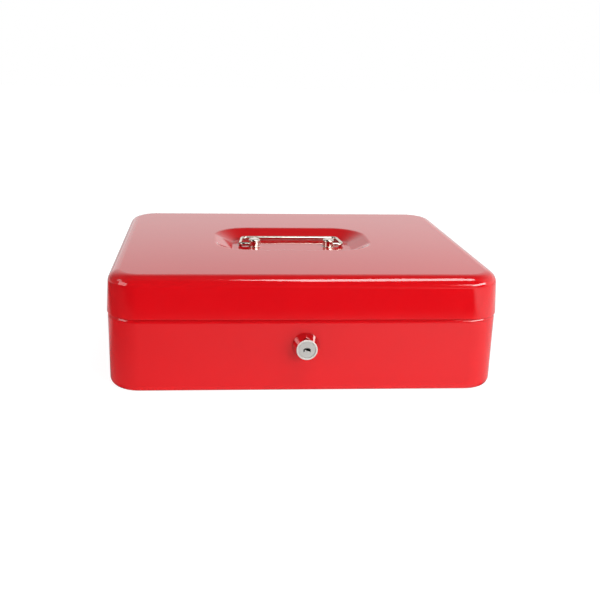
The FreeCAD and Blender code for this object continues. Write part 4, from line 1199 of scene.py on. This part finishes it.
def paper_backdrop(scene, studio):
    """The world: white to the camera, and to mirroring surfaces white behind and dark above and in front."""
    world = bpy.data.worlds.new("studio_world")
    scene.world = world
    world.use_nodes = True
    tree = world.node_tree
    tree.nodes.clear()
    path = add_node(tree, "ShaderNodeLightPath").outputs
    direction = add_node(tree, "ShaderNodeTexCoord").outputs["Generated"]
    levels = light_levels(tree, direction, BACKDROP_ZONES, BACKDROP_STEPS, {})
    shade = add_node(tree, "ShaderNodeMapRange", inputs={
        "Value": levels["mirrored"], "To Min": 0.04, "To Max": 1.12})
    unseen = add_node(tree, "ShaderNodeMix", {"data_type": "FLOAT"}, {
        0: path["Is Glossy Ray"], 2: studio.fill, 3: shade.outputs["Result"]})
    level = add_node(tree, "ShaderNodeMath", {"operation": "MAXIMUM"}, {
        0: path["Is Camera Ray"], 1: unseen.outputs[0]})
    back = add_node(tree, "ShaderNodeBackground", inputs={"Color": WHITE, "Strength": level.outputs[0]})
    add_node(tree, "ShaderNodeOutputWorld", inputs={"Surface": back.outputs[0]})


def softboxes(scene, studio):
    """The rectangular lamps, each turned to the box."""
    for name, (place, span, power) in SOFTBOXES.items():
        lamp = bpy.data.lights.new(name, "AREA")
        lamp.shape = "RECTANGLE"
        lamp.size, lamp.size_y = span
        lamp.energy = getattr(studio, power)
        lamp_object = bpy.data.objects.new(name, lamp)
        scene.collection.objects.link(lamp_object)
        lamp_object.location = place
        lamp_object.rotation_euler = (SOFTBOX_TARGET - Vector(place)).to_track_quat("-Z", "Y").to_euler()
        lamp_object.visible_glossy = name != "back_softbox"


def photo_camera(scene, studio):
    """The camera at the photograph's viewing angle."""
    yaw = studio.camera_yaw
    pitch = studio.camera_pitch
    ahead = Vector((math.sin(yaw) * math.cos(pitch), math.cos(yaw) * math.cos(pitch), -math.sin(pitch)))
    right = Vector((math.cos(yaw), -math.sin(yaw), 0))
    up = right.cross(ahead)
    tilt = Matrix.Rotation(studio.camera_roll, 3, -ahead)
    axes = Matrix((tilt @ right, tilt @ up, -ahead)).transposed().to_4x4()
    camera = bpy.data.cameras.new("photo_camera")
    camera.sensor_width = 36
    camera.lens = studio.camera_lens
    camera.shift_x, camera.shift_y = studio.camera_shift
    camera.clip_start = 10 * MM
    camera_object = bpy.data.objects.new("photo_camera", camera)
    scene.collection.objects.link(camera_object)
    camera_object.matrix_world = Matrix.Translation(studio.camera_place) @ axes
    scene.camera = camera_object


class CASHBOX_OT_studio(bpy.types.Operator):
    """Set the floor, the world, the softboxes and the camera"""
    bl_idname = "cash_box.studio"
    bl_label = "Studio"

    def execute(self, context):
        scene = context.scene
        scene.view_settings.view_transform = "Standard"
        paper_floor(scene.cash_box_studio)
        paper_backdrop(scene, scene.cash_box_studio)
        softboxes(scene, scene.cash_box_studio)
        photo_camera(scene, scene.cash_box_studio)
        return {"FINISHED"}


OPERATORS = (
    CASHBOX_OT_plain_nodes,
    CASHBOX_OT_tub,
    CASHBOX_OT_lid,
    CASHBOX_OT_posts,
    CASHBOX_OT_handle,
    CASHBOX_OT_lock,
    CASHBOX_OT_screws,
    CASHBOX_OT_tray,
    CASHBOX_OT_studio,
)


class CASHBOX_PT_sidebar(bpy.types.Panel):
    """The pieces of the cash box, in the order they are made"""
    bl_idname = "CASHBOX_PT_sidebar"
    bl_label = "Cash box"
    bl_space_type = "VIEW_3D"
    bl_region_type = "UI"
    bl_category = "Cash box"

    def draw(self, context):
        for operator in OPERATORS:
            self.layout.operator(operator.bl_idname)


SETTINGS = {
    "cash_box_shell": CashBoxShellSizes,
    "cash_box_handle": CashBoxHandleSizes,
    "cash_box_lock": CashBoxLockSizes,
    "cash_box_screws": CashBoxScrewSizes,
    "cash_box_tray": CashBoxTraySizes,
    "cash_box_finishes": CashBoxFinishes,
    "cash_box_studio": CashBoxStudio,
}


def register():
    for group in SETTINGS.values():
        bpy.utils.register_class(group)
    for name, group in SETTINGS.items():
        setattr(bpy.types.Scene, name, PointerProperty(type=group))
    for operator in OPERATORS:
        bpy.utils.register_class(operator)
    bpy.utils.register_class(CASHBOX_PT_sidebar)


def unregister():
    bpy.utils.unregister_class(CASHBOX_PT_sidebar)
    for operator in reversed(OPERATORS):
        bpy.utils.unregister_class(operator)
    for name, group in SETTINGS.items():
        delattr(bpy.types.Scene, name)
        bpy.utils.unregister_class(group)


def main():
    register()
    bpy.ops.cash_box.plain_nodes()
    bpy.ops.cash_box.tub()
    bpy.ops.cash_box.lid()
    bpy.ops.cash_box.posts()
    bpy.ops.cash_box.handle()
    bpy.ops.cash_box.lock()
    bpy.ops.cash_box.screws()
    bpy.ops.cash_box.tray()
    bpy.ops.cash_box.studio()


if __name__ == "__main__":
    main()
